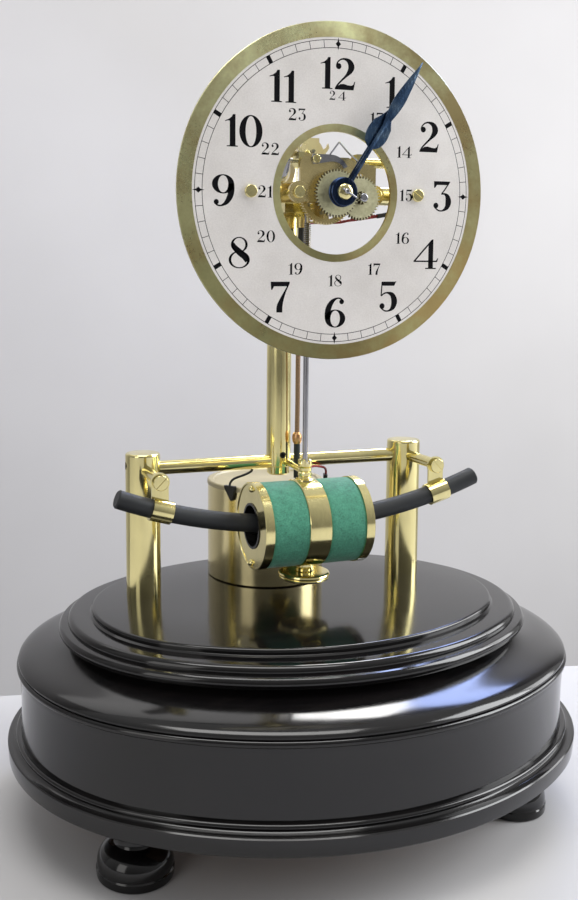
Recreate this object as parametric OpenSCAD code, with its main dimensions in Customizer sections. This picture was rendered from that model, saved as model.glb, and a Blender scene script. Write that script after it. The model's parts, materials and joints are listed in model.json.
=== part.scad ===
// Electric table clock: a hollow coil swings as the bob of a pendulum over a
// curved bar magnet, and works an open movement behind a ring dial.
// Millimetres, +Z up, the dial faces -Y. The origin is on the table under
// the middle of the oval plinth.

/* [Plinth] */
// Half width of the flat on top of the plinth
plateau_a = 92.5; // [88:0.5:96]
// How much the oval is narrower than long, as the shift of its side centres
oval_c1 = 37.2; // [30:0.6:42]
// Height of the flat that the brass work stands on
plateau_z = 92; // [88:1:98]
// Half width over the lower moulding
moulding_a = 130; // [127:0.5:134]

/* [Frame] */
// Distance of each post from the middle
post_x = 65.5; // [62:0.5:70]
// Distance of posts and column behind the middle
post_y = 20; // [16:1:24]
// Radius of a post
post_r = 7.9; // [6:0.1:9]
// Height of a post above the plinth
post_h = 65.5; // [62:0.5:70]
// Height of the cross rod above the plinth
rod_h = 58; // [54:0.5:60]
// Radius of the cross rod
rod_r = 3.2; // [2.5:0.1:4]
// Radius of the column
column_r = 5.7; // [5:0.1:7]

/* [Magnet and bob] */
// Distance of the pendulum's plane before the middle
swing_y = 11.5; // [10:0.5:12]
// Height of the coil's axis above the plinth
coil_h = 36; // [34:0.5:38]
// Radius to which the magnet is bent
magnet_bend_r = 232; // [200:1:260]
// Half length of the magnet along its bend
magnet_half = 86; // [80:1:92]
// Radius of the magnet
magnet_r = 4; // [3:0.1:5]
// Outer radius of the coil's flanges
coil_r = 19; // [17:0.5:21]
// Half length of the coil
coil_half = 25.2; // [22:0.1:28]

/* [Dial] */
// Height of the dial's centre above the plinth
dial_h = 176; // [170:1:182]
// Outer radius of the dial
dial_r = 66; // [62:1:70]
// Radius of the open middle of the dial
window_r = 24; // [22:0.5:25]
// Minutes past one that the hands show
minutes = 5.5; // [0:0.5:59]

/* [Hidden] */
$fn = 48;

dial_z = plateau_z + dial_h;
coil_z = plateau_z + coil_h;
rod_z = plateau_z + rod_h;
post_top = plateau_z + post_h;
arm_z = rod_z;

// Colours of the finishes
BRASS = [0.80, 0.66, 0.34];
SATIN = [0.70, 0.60, 0.34];
EBONY = [0.05, 0.045, 0.045];
STEEL = [0.55, 0.56, 0.58];
BLUED = [0.08, 0.13, 0.26];
SILVER = [0.84, 0.83, 0.82];
BLACK = [0.07, 0.07, 0.075];
GREEN = [0.16, 0.52, 0.40];
RED = [0.55, 0.07, 0.05];
COPPER = [0.72, 0.42, 0.26];

// The plinth's oval has four centres: two ends and two sides, so every
// moulding keeps its width all the way round.
// The centres and a seam make a 3-4-5 triangle, so the seams meet exactly.
oval_phi = atan2(4, 3);
oval_c2 = oval_c1 * 4 / 3;
oval_d = oval_c1 * 2 / 3;

// A closed profile of [half width, height] points carried round the oval:
// a quarter, made from its seam outwards both ways and trimmed, is mirrored
module oval_turn(pts) {
  fine = [for (p = pts) [round(100 * p[0]) / 100, round(100 * p[1]) / 100]];
  for (x = [0, 1], y = [0, 1]) mirror([x, 0, 0]) mirror([0, y, 0]) intersection() {
    cube([300, 300, 400]);
    union() {
      translate([oval_c1, 0, 0]) mirror([0, 1, 0]) rotate([0, 0, -oval_phi])
        rotate_extrude(angle = oval_phi + 2, $fn = 180) polygon([for (p = fine) [p[0] - oval_c1, p[1]]]);
      translate([0, -oval_c2, 0]) rotate([0, 0, oval_phi])
        rotate_extrude(angle = 92 - oval_phi, $fn = 180)
          polygon([for (p = fine) [p[0] - oval_d + oval_c2, p[1]]]);
    }
  }
}

// A solid slab of the oval between two heights
module oval_slab(a, z0, z1) {
  translate([0, 0, z0]) linear_extrude(z1 - z0) {
    for (s = [0, 180]) rotate(s) {
      translate([oval_c1, 0]) circle(a - oval_c1, $fn = 160);
      intersection() {
        translate([0, -oval_c2]) circle(a - oval_d + oval_c2, $fn = 360);
        polygon([[0, -oval_c2], [a * 3 * cos(oval_phi), a * 3 * sin(oval_phi) - oval_c2],
          [-a * 3 * cos(oval_phi), a * 3 * sin(oval_phi) - oval_c2]]);
      }
    }
  }
}

function arc_pts(cx, cy, r, a0, a1, n) =
  [for (i = [0:n]) let (a = a0 + (a1 - a0) * i / n) [cx + r * cos(a), cy + r * sin(a)]];
function bezier(p, t) = pow(1 - t, 3) * p[0] + 3 * t * pow(1 - t, 2) * p[1]
  + 3 * t * t * (1 - t) * p[2] + t * t * t * p[3];
function bezier_pts(p, n) = [for (i = [0:n]) bezier(p, i / n)];

// Cylinders along X and along Y
module xcyl(r, x0, x1, y, z, fn = 48) {
  translate([min(x0, x1), y, z]) rotate([0, 90, 0]) cylinder(h = abs(x1 - x0), r = r, $fn = fn);
}
module ycyl(r, y0, y1, x = 0, z = 0, fn = 48) {
  translate([x, y0, z]) rotate([-90, 0, 0]) cylinder(h = y1 - y0, r = r, $fn = fn);
}
// A flat outline drawn as seen from the front, made t thick behind y_front
module in_front(y_front, t, z = dial_z) {
  translate([0, y_front + t, z]) rotate([90, 0, 0]) linear_extrude(t) children();
}
// A straight tube along a list of points, as one closed skin
function unit(v) = v / norm(v);
function tangent(p, i) = let (n = len(p))
  unit(i == 0 ? p[1] - p[0] : i == n - 1 ? p[n - 1] - p[n - 2]
    : unit(p[i + 1] - p[i]) + unit(p[i] - p[i - 1]));
function carried(p, i) = i == 0
  ? unit(cross(tangent(p, 0), abs(tangent(p, 0)[2]) > 0.8 ? [1, 0, 0] : [0, 0, 1]))
  : let (u = carried(p, i - 1), t = tangent(p, i)) unit(u - (u * t) * t);
module tube(path, r, sides = 8) {
  n = len(path);
  frames = [for (i = [0:n - 1]) let (u = carried(path, i)) [u, cross(tangent(path, i), u)]];
  pts = [for (i = [0:n - 1], k = [0:sides - 1]) let (a = 360 * k / sides)
    path[i] + r * cos(a) * frames[i][0] + r * sin(a) * frames[i][1]];
  skin = [for (i = [0:n - 2], k = [0:sides - 1]) let (a = i * sides + k,
    b = i * sides + (k + 1) % sides) each [[a, a + sides, b + sides], [a, b + sides, b]]];
  ends = [for (k = [1:sides - 2]) each [[0, k, k + 1],
    [(n - 1) * sides, (n - 1) * sides + k + 1, (n - 1) * sides + k]]];
  polyhedron(points = pts, faces = concat(skin, ends));
}
// A smooth path through hand-chosen points
function blend4(a, b, c, d, t) = 0.5 * ((2 * b) + (c - a) * t
  + (2 * a - 5 * b + 4 * c - d) * t * t + (3 * b - a - 3 * c + d) * t * t * t);
function smooth(p, n) = let (m = len(p)) concat([for (i = [0:m - 2], k = [0:n - 1])
  blend4(p[max(i - 1, 0)], p[i], p[i + 1], p[min(i + 2, m - 1)], k / n)], [p[m - 1]]);

// Plinth
top_z = 80;
floor_z = 28.6;
ring_z = 39.3;
shoulder_z = 71.4;

module plinth_top() {
  bead = arc_pts(104.4, 83.4, 2.6, -100, 55, 5);
  nose = arc_pts(100.6, 86.6, 2.4, 0, 90, 4);
  step = arc_pts(plateau_a - 1.2, plateau_z - 1.2, 1.2, 0, 90, 3);
  color(EBONY) difference() {
    union() {
      oval_turn(concat([[60, top_z], [102.6, top_z], [103.2, 80.7]], bead, [[103, 86]], nose,
        [[plateau_a + 1, 89], [plateau_a, 89.6]], step, [[60, plateau_z]]));
      translate([-62, -37, top_z]) cube([124, 74, plateau_z - top_z]);
    }
    for (x = [-post_x, post_x]) translate([x, post_y, spigot_z]) cylinder(h = 20, r = spigot_r);
  }
}
module plinth_body() {
  z = shoulder_z;
  slope = bezier_pts([[103, top_z], [108.5, 75.2], [121.5, z + 4.4], [124.6, z]], 14);
  side = bezier_pts([[124.4, z - 5.2], [123.5, 60], [123.4, 50], [124, ring_z]], 8);
  color(EBONY) oval_turn(concat([[109, ring_z], [109, 62], [92, 73], [92, top_z]], slope,
    [[124.7, z - 0.6], [123.9, z - 1]], arc_pts(123.9, z - 2.7, 1.5, 80, -70, 6), side));
}
module plinth_moulding() {
  a = moulding_a;
  color(EBONY) oval_turn(concat([[108, floor_z], [a - 1, floor_z], [a - 0.4, floor_z + 0.6], [a, 35.2],
    [a - 0.1, 35.7], [a - 0.6, 36.1], [a - 2.2, 36.2], [a - 3.2, 36.5], [a - 4, 37.1]],
    arc_pts(a - 4.8, ring_z - 1.2, 1.2, -40, 90, 6), [[108, ring_z]]));
}
module plinth_floor() {
  color([0.10, 0.07, 0.05]) oval_slab(108, floor_z, floor_z + 6);
}
foot_x = 86;
foot_y = 45.7;
module feet() {
  dome = bezier_pts([[15.3, 4.6], [15.6, 10.4], [12.4, 12.6], [8.6, 14]], 10);
  color(EBONY) for (x = [-foot_x, foot_x], y = [-foot_y, foot_y]) translate([x, y, 0])
    rotate_extrude($fn = 72) polygon(concat([[0, 0], [14.8, 0], [15.4, 0.5], [15.6, 1.4], [15.6, 3.6],
      [15.2, 4.2]], dome, [[7.8, 16.5], [7.8, 20], [8.8, 24], [11, 27], [12.5, floor_z], [0, floor_z]]));
}

// Frame
spigot_r = 4.5;
spigot_z = 84;
rod_depth = 4;
// Height of the grub screw in the front of the column
grub_z = rod_z + 3.6;
module post(s) {
  color(BRASS) translate([s * post_x, post_y, 0]) difference() {
    rotate_extrude($fn = 72) polygon(concat([[0, spigot_z], [spigot_r, spigot_z],
      [spigot_r, plateau_z], [post_r, plateau_z]],
      arc_pts(post_r - 1.1, post_top - 1.3, 1.1, 0, 80, 6), [[0, post_top]]));
    xcyl(rod_r, -s * (post_r + 0.5), -s * (post_r - rod_depth), 0, rod_z);
    xcyl(1.7, s * (post_r - 2.6), s * (post_r + 1), 0, rod_z + 1.6);
    ycyl(arm_r, -post_r - 1, -post_r + rod_depth, 0, arm_z);
  }
}
module left_post() { post(-1); }
module right_post() { post(1); }
module cross_rod() {
  reach = post_x - post_r + rod_depth;
  color(BRASS) xcyl(rod_r, -reach, reach, post_y, rod_z);
}
module grub_screws() {
  color([0.12, 0.12, 0.13]) {
    for (s = [-1, 1]) difference() {
      xcyl(1.7, s * (post_x + post_r - 2.6), s * (post_x + post_r - 0.5), post_y, rod_z + 1.6);
      xcyl(0.8, s * (post_x + post_r - 1.3), s * (post_x + post_r), post_y, rod_z + 1.6, 6);
    }
    difference() {
      ycyl(1.5, post_y - column_r + 0.3, post_y - rod_r - 0.6, 0, grub_z);
      ycyl(0.7, post_y - column_r, post_y - column_r + 1.4, 0, grub_z, 6);
    }
  }
}
column_bottom = rod_z - 6;
column_top = dial_z + 26;
module column() {
  color(BRASS) translate([0, post_y, 0]) difference() {
    rotate_extrude($fn = 72) polygon([[0, column_bottom], [4.6, column_bottom],
      [5.3, column_bottom + 0.7], [5.3, rod_z - 2.2], [column_r, rod_z - 1.8],
      [column_r, column_top - 1], [column_r - 1, column_top], [0, column_top]]);
    xcyl(rod_r, -10, 10, 0, rod_z);
    ycyl(1.5, -column_r - 1, -rod_r, 0, grub_z);
    translate([0, -post_y, 0]) rod_between(steady_from, steady_to, steady_r);
  }
}
steady_r = 1.5;
steady_from = [3.2, post_y - 3.4, rod_z];
steady_to = [1, -7.4, rod_z];
module steady_arm() {
  color(BRASS) rod_between(steady_from, steady_to, steady_r);
}
// A round rod from point a to point b, as a true cylinder
module rod_between(a, b, r, fn = 48) {
  v = b - a;
  translate(a) rotate([0, acos(v[2] / norm(v)), atan2(v[1], v[0])])
    cylinder(h = norm(v), r = r, $fn = fn);
}
// A domed screw head with its slot, facing -Y, its seat at y
module screw_y(x, y, z, r, h, slot, fn = 40) {
  dome = (r * r + h * h * 0.25) / h;
  difference() {
    translate([x, y, z]) rotate([90, 0, 0]) rotate_extrude($fn = fn)
      polygon(concat([[0, 0], [r, 0]], arc_pts(r - 0.35, h - 0.4, 0.35, 0, 75, 4), [[0, h]]));
    translate([x, y - h, z]) rotate([0, slot, 0])
      cube([2 * r + 1, 0.9, max(0.5, r * 0.2)], center = true);
  }
}

// Magnet and its clips
arm_r = 2.5;
clip_shank = 1.3;
clip_y = -10.2;
magnet_lift = coil_z + magnet_bend_r;
clip_tilt = asin(post_x / magnet_bend_r);
clip_z = magnet_lift - magnet_bend_r * cos(clip_tilt);
strap_r = magnet_r + 0.9;
strap_half = 4.6;
// The magnet is bent and the strap is straight, so the strap's bore is wider
strap_gap = 0.06;
module magnet_arms() {
  color(BRASS) for (x = [-post_x, post_x]) difference() {
    ycyl(arm_r, clip_y + 0.5, post_y - post_r + rod_depth, x, arm_z);
    ycyl(clip_shank, clip_y - 1, clip_y + 3, x, arm_z - 0.6, 32);
  }
}
module magnet_clips() {
  color(BRASS) for (s = [-1, 1]) difference() {
    union() {
      ycyl(4.2, clip_y - 0.5, clip_y + 0.5, s * post_x, arm_z - 0.6);
      translate([s * post_x, clip_y, (arm_z - 0.6 + clip_z) / 2])
        cube([7.4, 1, arm_z - 0.6 - clip_z], center = true);
      translate([s * post_x, -swing_y, clip_z]) rotate([0, -s * clip_tilt, 0])
        xcyl(strap_r, -strap_half, strap_half, 0, 0);
    }
    translate([s * post_x, -swing_y, clip_z]) rotate([0, -s * clip_tilt, 0])
      xcyl(magnet_r + strap_gap, -strap_half - 3, strap_half + 3, 0, 0);
    ycyl(clip_shank, clip_y - 1, clip_y + 3, s * post_x, arm_z - 0.6, 32);
  }
}
module magnet() {
  half = magnet_half / magnet_bend_r * 180 / PI;
  cap = 0.6;
  color([0.16, 0.16, 0.17]) translate([0, -swing_y, magnet_lift]) {
    rotate([-90, 0, 0]) rotate([0, 0, 90 - half])
      rotate_extrude(angle = 2 * half, $fn = 360) translate([magnet_bend_r, 0]) circle(magnet_r, $fn = 48);
    for (s = [-1, 1]) rotate([0, -s * half, 0]) translate([s * 0.001, 0, -magnet_bend_r])
      rotate([0, s * 90, 0]) cylinder(h = cap, r1 = magnet_r, r2 = magnet_r - cap, $fn = 48);
  }
}

// Battery and wires
can_y = 37;
can_r = 28;
can_top = 136.5;
lid_top = 138.8;
lid_r = can_r + 0.25;
module battery_can() {
  color(SATIN) translate([0, can_y, 0]) rotate_extrude($fn = 96)
    polygon([[0, plateau_z], [can_r - 0.6, plateau_z], [can_r, plateau_z + 0.6], [can_r, can_top],
      [can_r - 1.2, can_top], [0, can_top]]);
}
module battery_lid() {
  color([0.78, 0.70, 0.58]) translate([0, can_y, 0]) rotate_extrude($fn = 96)
    polygon(concat([[0, can_top], [lid_r, can_top]],
      arc_pts(can_r - 0.75, lid_top - 1, 1, 0, 80, 5), [[can_r - 2.6, lid_top],
      [can_r - 3.2, lid_top - 0.6], [0, lid_top - 0.6]]));
}
// A rubber boot hangs over the lid's rim: an angle round the can, the height
// of its flat top, and how far its point is to one side
boot_left = [215, 139.4, 1.2];
boot_right = [-22.4, 141, 0];
boot_out = 2;
module boot(b) {
  wedge = [[-2.9, 0], [2.9, 0], [2.9, -0.8], [2.6, -2.6], [b[2] + 0.5, -6.8], [b[2] - 0.5, -6.8],
    [-2.5, -1.6], [-2.9, -0.8]];
  translate([0, can_y, b[1]]) rotate(b[0]) difference() {
    translate([can_r - 1, 0, 0]) rotate([90, 0, 90]) linear_extrude(boot_out + 1) polygon(wedge);
    translate([0, 0, -10]) cylinder(h = 20, r = lid_r, $fn = 96);
  }
}
module terminal_boots() {
  color(BLACK) {
    boot(boot_left);
    boot(boot_right);
  }
}
lead_r = 0.55;
// Where a lead leaves the top of a boot
function boot_top(b) = [(can_r + 1.3) * cos(b[0]), can_y + (can_r + 1.3) * sin(b[0]), b[1]];
module earth_lead() {
  path = concat([boot_top(boot_left) - [0, 0, 0.3]], [[-23.7, 20.6, 140.6], [-22.4, 21, 142],
    [-20.4, 21.4, 142.8], [-17.6, 20.8, 143.8], [-15, 20.2, 144.9], [-13.4, 20, 145.9],
    [-13.2, 20, rod_z - rod_r + 0.1]]);
  color(BLACK) tube(smooth(path, 3), lead_r);
}
// The main lead comes down behind the pendulum to a sleeve over the joint
sleeve_at = [6.2, 12.5];
sleeve_z = 143;
sleeve_r = 1.45;
joint_z = 159;
web_z = 262;
block_z = web_z - 4.6;
post_foot = 257.4;
terminal_x = 1;
block_at = [6.2, 9.6];
module red_leads() {
  live = concat([boot_top(boot_right) - [0, 0, 0.3]], [[26.6, 24.8, 143], [24.4, 21.8, 145],
    [20.6, 18.2, 146.4], [16.6, 15.2, 147.4], [12.6, 14.2, 146.8], [9.6, 13.9, 144.8], [8.2, 13.5, 142.2],
    [7, 12.8, 141.2], [sleeve_at[0], sleeve_at[1], 141.8], [sleeve_at[0], sleeve_at[1], sleeve_z + 0.4]]);
  contact = [[terminal_x + 0.7, bar_y, post_foot + 0.6], [5, bar_y, 258.1], [12, bar_y, 258.2],
    [18, bar_y, 259.6], [24, bar_y, 260.9], [27, bar_y, 261.2], [30, bar_y, 261.2]];
  back = [[36, bar_y, 262.2], [39.6, -17, 262.6], [42.2, -13, 262.9], [40, -6, 262.6], [30, 2, 261],
    [20, 7.6, 259.9], [12, 9.4, 259.7], [block_at[0] + 2.1, block_at[1], 259.7]];
  color(RED) for (path = [live, contact, back]) tube(smooth(path, 3), lead_r);
}
main_top = [5.9, 9.1, 232];
module lead_sleeves() {
  color(BLACK) {
    translate([sleeve_at[0], sleeve_at[1], sleeve_z])
      cylinder(h = joint_z - sleeve_z, r = sleeve_r, $fn = 32);
    rod_between([29.4, bar_y, 261.1], [36.4, bar_y, 262.3], 0.95, 32);
  }
  color([0.45, 0.40, 0.42]) rod_between(main_top, [block_at[0], block_at[1], block_z], 1.5, 32);
}
module lead_joint() {
  color(COPPER) translate([sleeve_at[0], sleeve_at[1], joint_z]) rotate_extrude($fn = 32)
    polygon([[0, 0], [1.5, 0], [2.1, 1.2], [2.3, 3], [2.0, 4.4], [1.3, 5.4], [0, 5.4]]);
}
module main_lead() {
  path = [[sleeve_at[0], sleeve_at[1], joint_z + 5.4], [6.3, 12.4, 176], [6.1, 11.9, 192],
    [5.8, 10.9, 209], [5.8, 9.7, 223], main_top];
  color([0.42, 0.27, 0.15]) tube(smooth(path, 3), 1.1, 10);
}

// Brackets on the column
bar_y = -18;
bar_z = dial_z + 1.5;
bar_r = 3.8;
bar_half = 39;
yoke_z0 = 244;
yoke_z1 = 277.5;
pivot_z = 287.5;
yoke_half = 12.6;
yoke_arm = 3.8;
yoke_top = 271.2;
module movement_yoke() {
  color(BRASS) difference() {
    union() {
      translate([0, post_y, 0]) rotate_extrude($fn = 72) polygon([[0, yoke_z0], [7.6, yoke_z0],
        [8.4, yoke_z0 + 0.8], [8.4, yoke_z1 - 1], [7.4, yoke_z1], [0, yoke_z1]]);
      translate([-yoke_half, 8.4, web_z]) cube([2 * yoke_half, 5, yoke_top - web_z]);
      for (x = [-yoke_half, yoke_half - yoke_arm]) translate([x, bar_y + 1, web_z])
        cube([yoke_arm, 9 - bar_y, yoke_top - web_z]);
    }
    translate([0, post_y, 0]) cylinder(h = column_top + 5, r = column_r, $fn = 72);
    xcyl(bar_r, -bar_half, bar_half, bar_y, bar_z);
    // The arms are scooped out underneath
    xcyl(7, -yoke_half - 1, yoke_half + 1, -2.5, web_z - 3);
  }
}
ear_rear = -8.1;
ear_t = 1.8;
// The front ear is a bell-shaped bridge with its feet on the dial bar
bell_y = -15.2;
bell_t = 2.1;
bridge_z = pivot_z + 3;
pin_r = 0.8;
module suspension_cock() {
  leg = bezier_pts([[15.6, 5.6], [12.4, 5.8], [9, 7], [9.6, 12.4]], 8);
  leg_in = bezier_pts([[7.2, 14], [7.2, 6], [10.6, 3], [15.6, 3]], 8);
  crown = arc_pts(0, pivot_z - dial_z, 5.2, 20, 90, 6);
  color(BRASS) difference() {
    union() {
      translate([0, post_y, yoke_z1 + 0.5]) cylinder(h = 14, r = 8, $fn = 72);
      translate([-3.4, bell_y, bridge_z]) cube([6.8, post_y - 5 - bell_y, 2.6]);
      translate([-3.4, ear_rear - ear_t, pivot_z - 3]) cube([6.8, ear_t, bridge_z - pivot_z + 4]);
      for (s = [0, 1]) mirror([s, 0, 0]) in_front(bell_y, bell_t)
        polygon(concat(leg, [[9.6, 14]], crown, [[0, 16]], leg_in));
      for (x = [-15.6, 12]) translate([x, -19.2, dial_z + 3]) cube([3.6, bell_y + bell_t + 19.2, 2.6]);
    }
    translate([0, post_y, 270]) cylinder(h = 40, r = column_r, $fn = 72);
    ycyl(pin_r, bell_y - 1, ear_rear + 1, 0, pivot_z);
    xcyl(bar_r, -20, 20, bar_y, bar_z);
  }
}
saddle_y = bell_y - 1.4;
// The crescent-shaped steel plate in front of the suspension
module suspension_saddle() {
  belly = arc_pts(0, 24.6, 8.2, 205, 335, 12);
  bowl = arc_pts(0, 27.4, 8.6, 316, 224, 10);
  color(STEEL) difference() {
    in_front(saddle_y, 1.4) polygon(concat(belly, [[6.9, 22.9]], bowl, [[-6.9, 22.9]]));
    ycyl(pin_r, saddle_y - 1, bell_y + 1, 0, pivot_z);
  }
}
module dial_bar() {
  color(BRASS) translate([-bar_half, bar_y, bar_z]) rotate([0, 90, 0]) rotate_extrude($fn = 64)
    polygon([[0, 0], [bar_r - 0.5, 0], [bar_r, 0.5], [bar_r, 2 * bar_half - 0.5],
      [bar_r - 0.5, 2 * bar_half], [0, 2 * bar_half]]);
}

// Dial
dial_y = -40;
dial_t = 1.2;
foot_dx = 36.2;
shank_r = 1.1;
ring_in = 27;
ring_out = 60;
sheet_y = dial_y + 0.05;
sheet_t = 0.25;
module dial_plate() {
  color(SATIN) difference() {
    translate([0, dial_y, dial_z]) rotate([-90, 0, 0]) rotate_extrude($fn = 180)
      polygon([[window_r, 0], [ring_in, 0], [ring_in, 0.3], [ring_out, 0.3], [ring_out, 0],
        [dial_r - 0.2, 0], [dial_r, 0.2], [dial_r, dial_t], [window_r, dial_t]]);
    for (x = [-foot_dx, foot_dx]) ycyl(shank_r, dial_y - 1, 0, x, dial_z);
  }
}
module chapter_ring() {
  color(SILVER) difference() {
    translate([0, sheet_y, dial_z]) rotate([-90, 0, 0]) rotate_extrude($fn = 180)
      translate([ring_in, 0]) square([ring_out - ring_in, sheet_t]);
    for (x = [-foot_dx, foot_dx]) ycyl(shank_r, dial_y - 1, 0, x, dial_z);
  }
}

// Movement plates. Heights here are measured from the dial's centre.
front_y = -36;
front_t = 1.6;
back_y = -25.4;
back_t = 1.4;
pillar_r = 2.2;
left_pillar = [-14.3, 0.7];
right_pillar = [15.6, 0.7];
lobe = [24.8, 1.2];
mesh_c = 11.3;
mesh_a = -7.6;
minute_at = [mesh_c * cos(mesh_a), mesh_c * sin(mesh_a)];
lever_z = -6.5;
worm_y = -30.1;
worm_dz = 13.46;
block_x = 11.5;
module bar_pillars() {
  color(BRASS) difference() {
    union() {
      for (x = [-foot_dx, foot_dx]) ycyl(2.5, dial_y + dial_t, bar_y, x, dial_z);
      for (p = [left_pillar, right_pillar]) ycyl(pillar_r, front_y + front_t, bar_y, p[0], dial_z + p[1]);
      ycyl(1.4, front_y, bar_y, right_pillar[0], dial_z + right_pillar[1]);
      ycyl(pillar_r, back_y + back_t, bar_y, lobe[0], dial_z + lobe[1]);
    }
    xcyl(bar_r, -bar_half, bar_half, bar_y, bar_z);
    for (x = [-foot_dx, foot_dx]) ycyl(shank_r, dial_y, dial_y + 5, x, dial_z);
    ycyl(shank_r, front_y, front_y + 5, left_pillar[0], dial_z + left_pillar[1]);
  }
}
module front_plate() {
  corner = arc_pts(-11.7, 12.6, 2, 90, 180, 5);
  color(BRASS) difference() {
    union() {
      in_front(front_y, front_t) polygon(concat([[-13.7, -2.4], [-13, -3.1], [19.3, -3.1], [19.3, 10.8],
        [18.3, 11.8], [11.4, 12.6], [7, 14.6]], corner));
      ycyl(4.2, front_y, front_y + front_t, left_pillar[0], dial_z + left_pillar[1]);
    }
    ycyl(1.05, front_y - 1, front_y + 3, 0, dial_z);
    ycyl(0.9, front_y - 1, front_y + 3, minute_at[0], dial_z + minute_at[1]);
    ycyl(shank_r, front_y - 1, front_y + 3, left_pillar[0], dial_z + left_pillar[1]);
    ycyl(1.4, front_y - 1, front_y + 3, right_pillar[0], dial_z + right_pillar[1]);
    // A pair of small holes near the right edge
    for (x = [11.3, 13]) ycyl(0.6, front_y - 1, front_y + 3, x, dial_z + 8);
  }
}
module back_plate() {
  color(BRASS) difference() {
    union() {
      in_front(back_y, back_t) polygon([[-17.6, -2.6], [-3.4, -2.6], [-3.4, -9], [-2.6, -9.8], [2.6, -9.8],
        [3.4, -9], [3.4, -2.6], [24.8, -2.6], [24.8, 5], [-17.6, 5]]);
      ycyl(3.9, back_y, back_y + back_t, lobe[0], dial_z + lobe[1]);
    }
    for (p = [left_pillar, right_pillar]) ycyl(pillar_r, back_y - 1, back_y + 3, p[0], dial_z + p[1]);
    ycyl(0.65, back_y - 1, back_y + 3, 0, dial_z);
    ycyl(0.8, back_y - 1, back_y + 3, 0, dial_z + lever_z);
  }
}
module worm_bearings() {
  z0 = dial_z + 10.5;
  color(BRASS) difference() {
    union() {
      for (x = [-block_x - 2.5, block_x]) translate([x, front_y + front_t, z0]) {
        cube([2.5, worm_y - front_y - front_t + 0.2, 5.9]);
        translate([0, worm_y - front_y - front_t, worm_dz - 10.5]) rotate([0, 90, 0])
          cylinder(h = 2.5, r = 2.4, $fn = 40);
      }
      xcyl(1.85, block_x + 2.5, 26, worm_y, dial_z + worm_dz, 40);
    }
    xcyl(0.82, -20, block_x + 5, worm_y, dial_z + worm_dz, 40);
  }
}
blade_y = front_y - 0.8;
// The blade that bears on the train, and the hairpin beside it
module leaf_springs() {
  top = bezier_pts([[-8.6, 15.6], [-3, 15], [2.4, 17.4], [6.3, 11]], 10);
  under = bezier_pts([[4.8, 10.2], [2, 14.2], [-1.5, 12.6], [-5.6, 12]], 8);
  hairpin = [[-0.6, -35.2, dial_z + 14.6], [-0.5, -35.2, 284], [0.6, -35.2, 285.4], [2.6, -35.2, 288],
    [3.3, -35.2, 288.6], [4.1, -35.2, 288], [7.4, -35.2, 284.6], [10.6, -35.2, 282.2],
    [11.2, -35.2, 281.4], [11.2, -35.2, dial_z + 12.6]];
  color(STEEL) {
    in_front(blade_y, 0.8) polygon(concat(top, under, [[-8.6, 11.6], [-9.4, 13.6]]));
    tube(smooth(hairpin, 2), 0.4);
  }
}
module steel_studs() {
  z = dial_z + minute_at[1];
  color(STEEL) {
    ycyl(pin_r, saddle_y - 0.6, ear_rear + 0.6, 0, pivot_z, 32);
    ycyl(0.9, -42.5, front_y + front_t, minute_at[0], z, 32);
    ycyl(1.8, front_y - 0.9, front_y, minute_at[0], z, 32);
    translate([minute_at[0], -41.6, z]) rotate([90, 0, 0]) rotate_extrude($fn = 32)
      polygon(concat([[0.8, 0], [1.8, 0]], arc_pts(1.1, 0.3, 0.7, 0, 80, 4), [[0.8, 1]]));
    ycyl(0.8, back_y, -21.9, 0, dial_z + lever_z, 32);
    ycyl(1.5, -21.9, -21, 0, dial_z + lever_z, 32);
  }
}
clip_screw_y = clip_y - 0.5;
module slotted_screws() {
  color(BRASS) {
    for (x = [-foot_dx, foot_dx]) {
      screw_y(x, sheet_y, dial_z, 2.5, 1.2, x > 0 ? 35 : -20);
      ycyl(shank_r, sheet_y, dial_y + 5, x, dial_z, 32);
    }
    screw_y(left_pillar[0], front_y, dial_z + left_pillar[1], 2.4, 1.3, -35);
    ycyl(shank_r, front_y, front_y + 5, left_pillar[0], dial_z + left_pillar[1], 32);
    screw_y(-7.4, blade_y, dial_z + 13.6, 1.7, 1, 70);
    screw_y(-2.8, saddle_y, dial_z + 18.4, 1.3, 0.9, 20);
    screw_y(lobe[0], back_y, dial_z + lobe[1], 2.4, 1.4, -50);
    for (s = [-1, 1]) {
      screw_y(s * post_x, clip_screw_y, arm_z - 0.6, 3.3, 1.8, s * 45);
      ycyl(clip_shank, clip_screw_y, clip_y + 3, s * post_x, arm_z - 0.6, 32);
    }
  }
}
module terminal_post() {
  color(SATIN) {
    difference() {
      translate([terminal_x, bar_y, 0]) rotate_extrude($fn = 48)
        polygon([[0, post_foot], [0.9, post_foot], [0.9, 259.6], [2.2, 259.6], [2.6, 260], [2.6, 263.4],
          [2.2, 263.8], [1, 264.2], [0.9, 267], [0, 267]]);
      xcyl(bar_r, -5, 5, bar_y, bar_z);
      // Knurling on the nut
      for (a = [0:15:345]) translate([terminal_x, bar_y, 260.4]) rotate([0, 0, a]) translate([2.75, 0, 0])
        cylinder(h = 2.6, r = 0.25, $fn = 16);
    }
    // The soldered end that hooks round beside the nut
    translate([-2.6, bar_y - 0.6, 258.2]) cube([0.6, 2, 6]);
    translate([-2.6, bar_y - 0.6, 257.8]) cube([3.4, 1.2, 0.6]);
    // The terminal under the yoke that the leads come to
    translate([block_at[0], block_at[1], block_z]) cylinder(h = web_z - block_z, r = 2.2, $fn = 40);
  }
}

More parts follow.
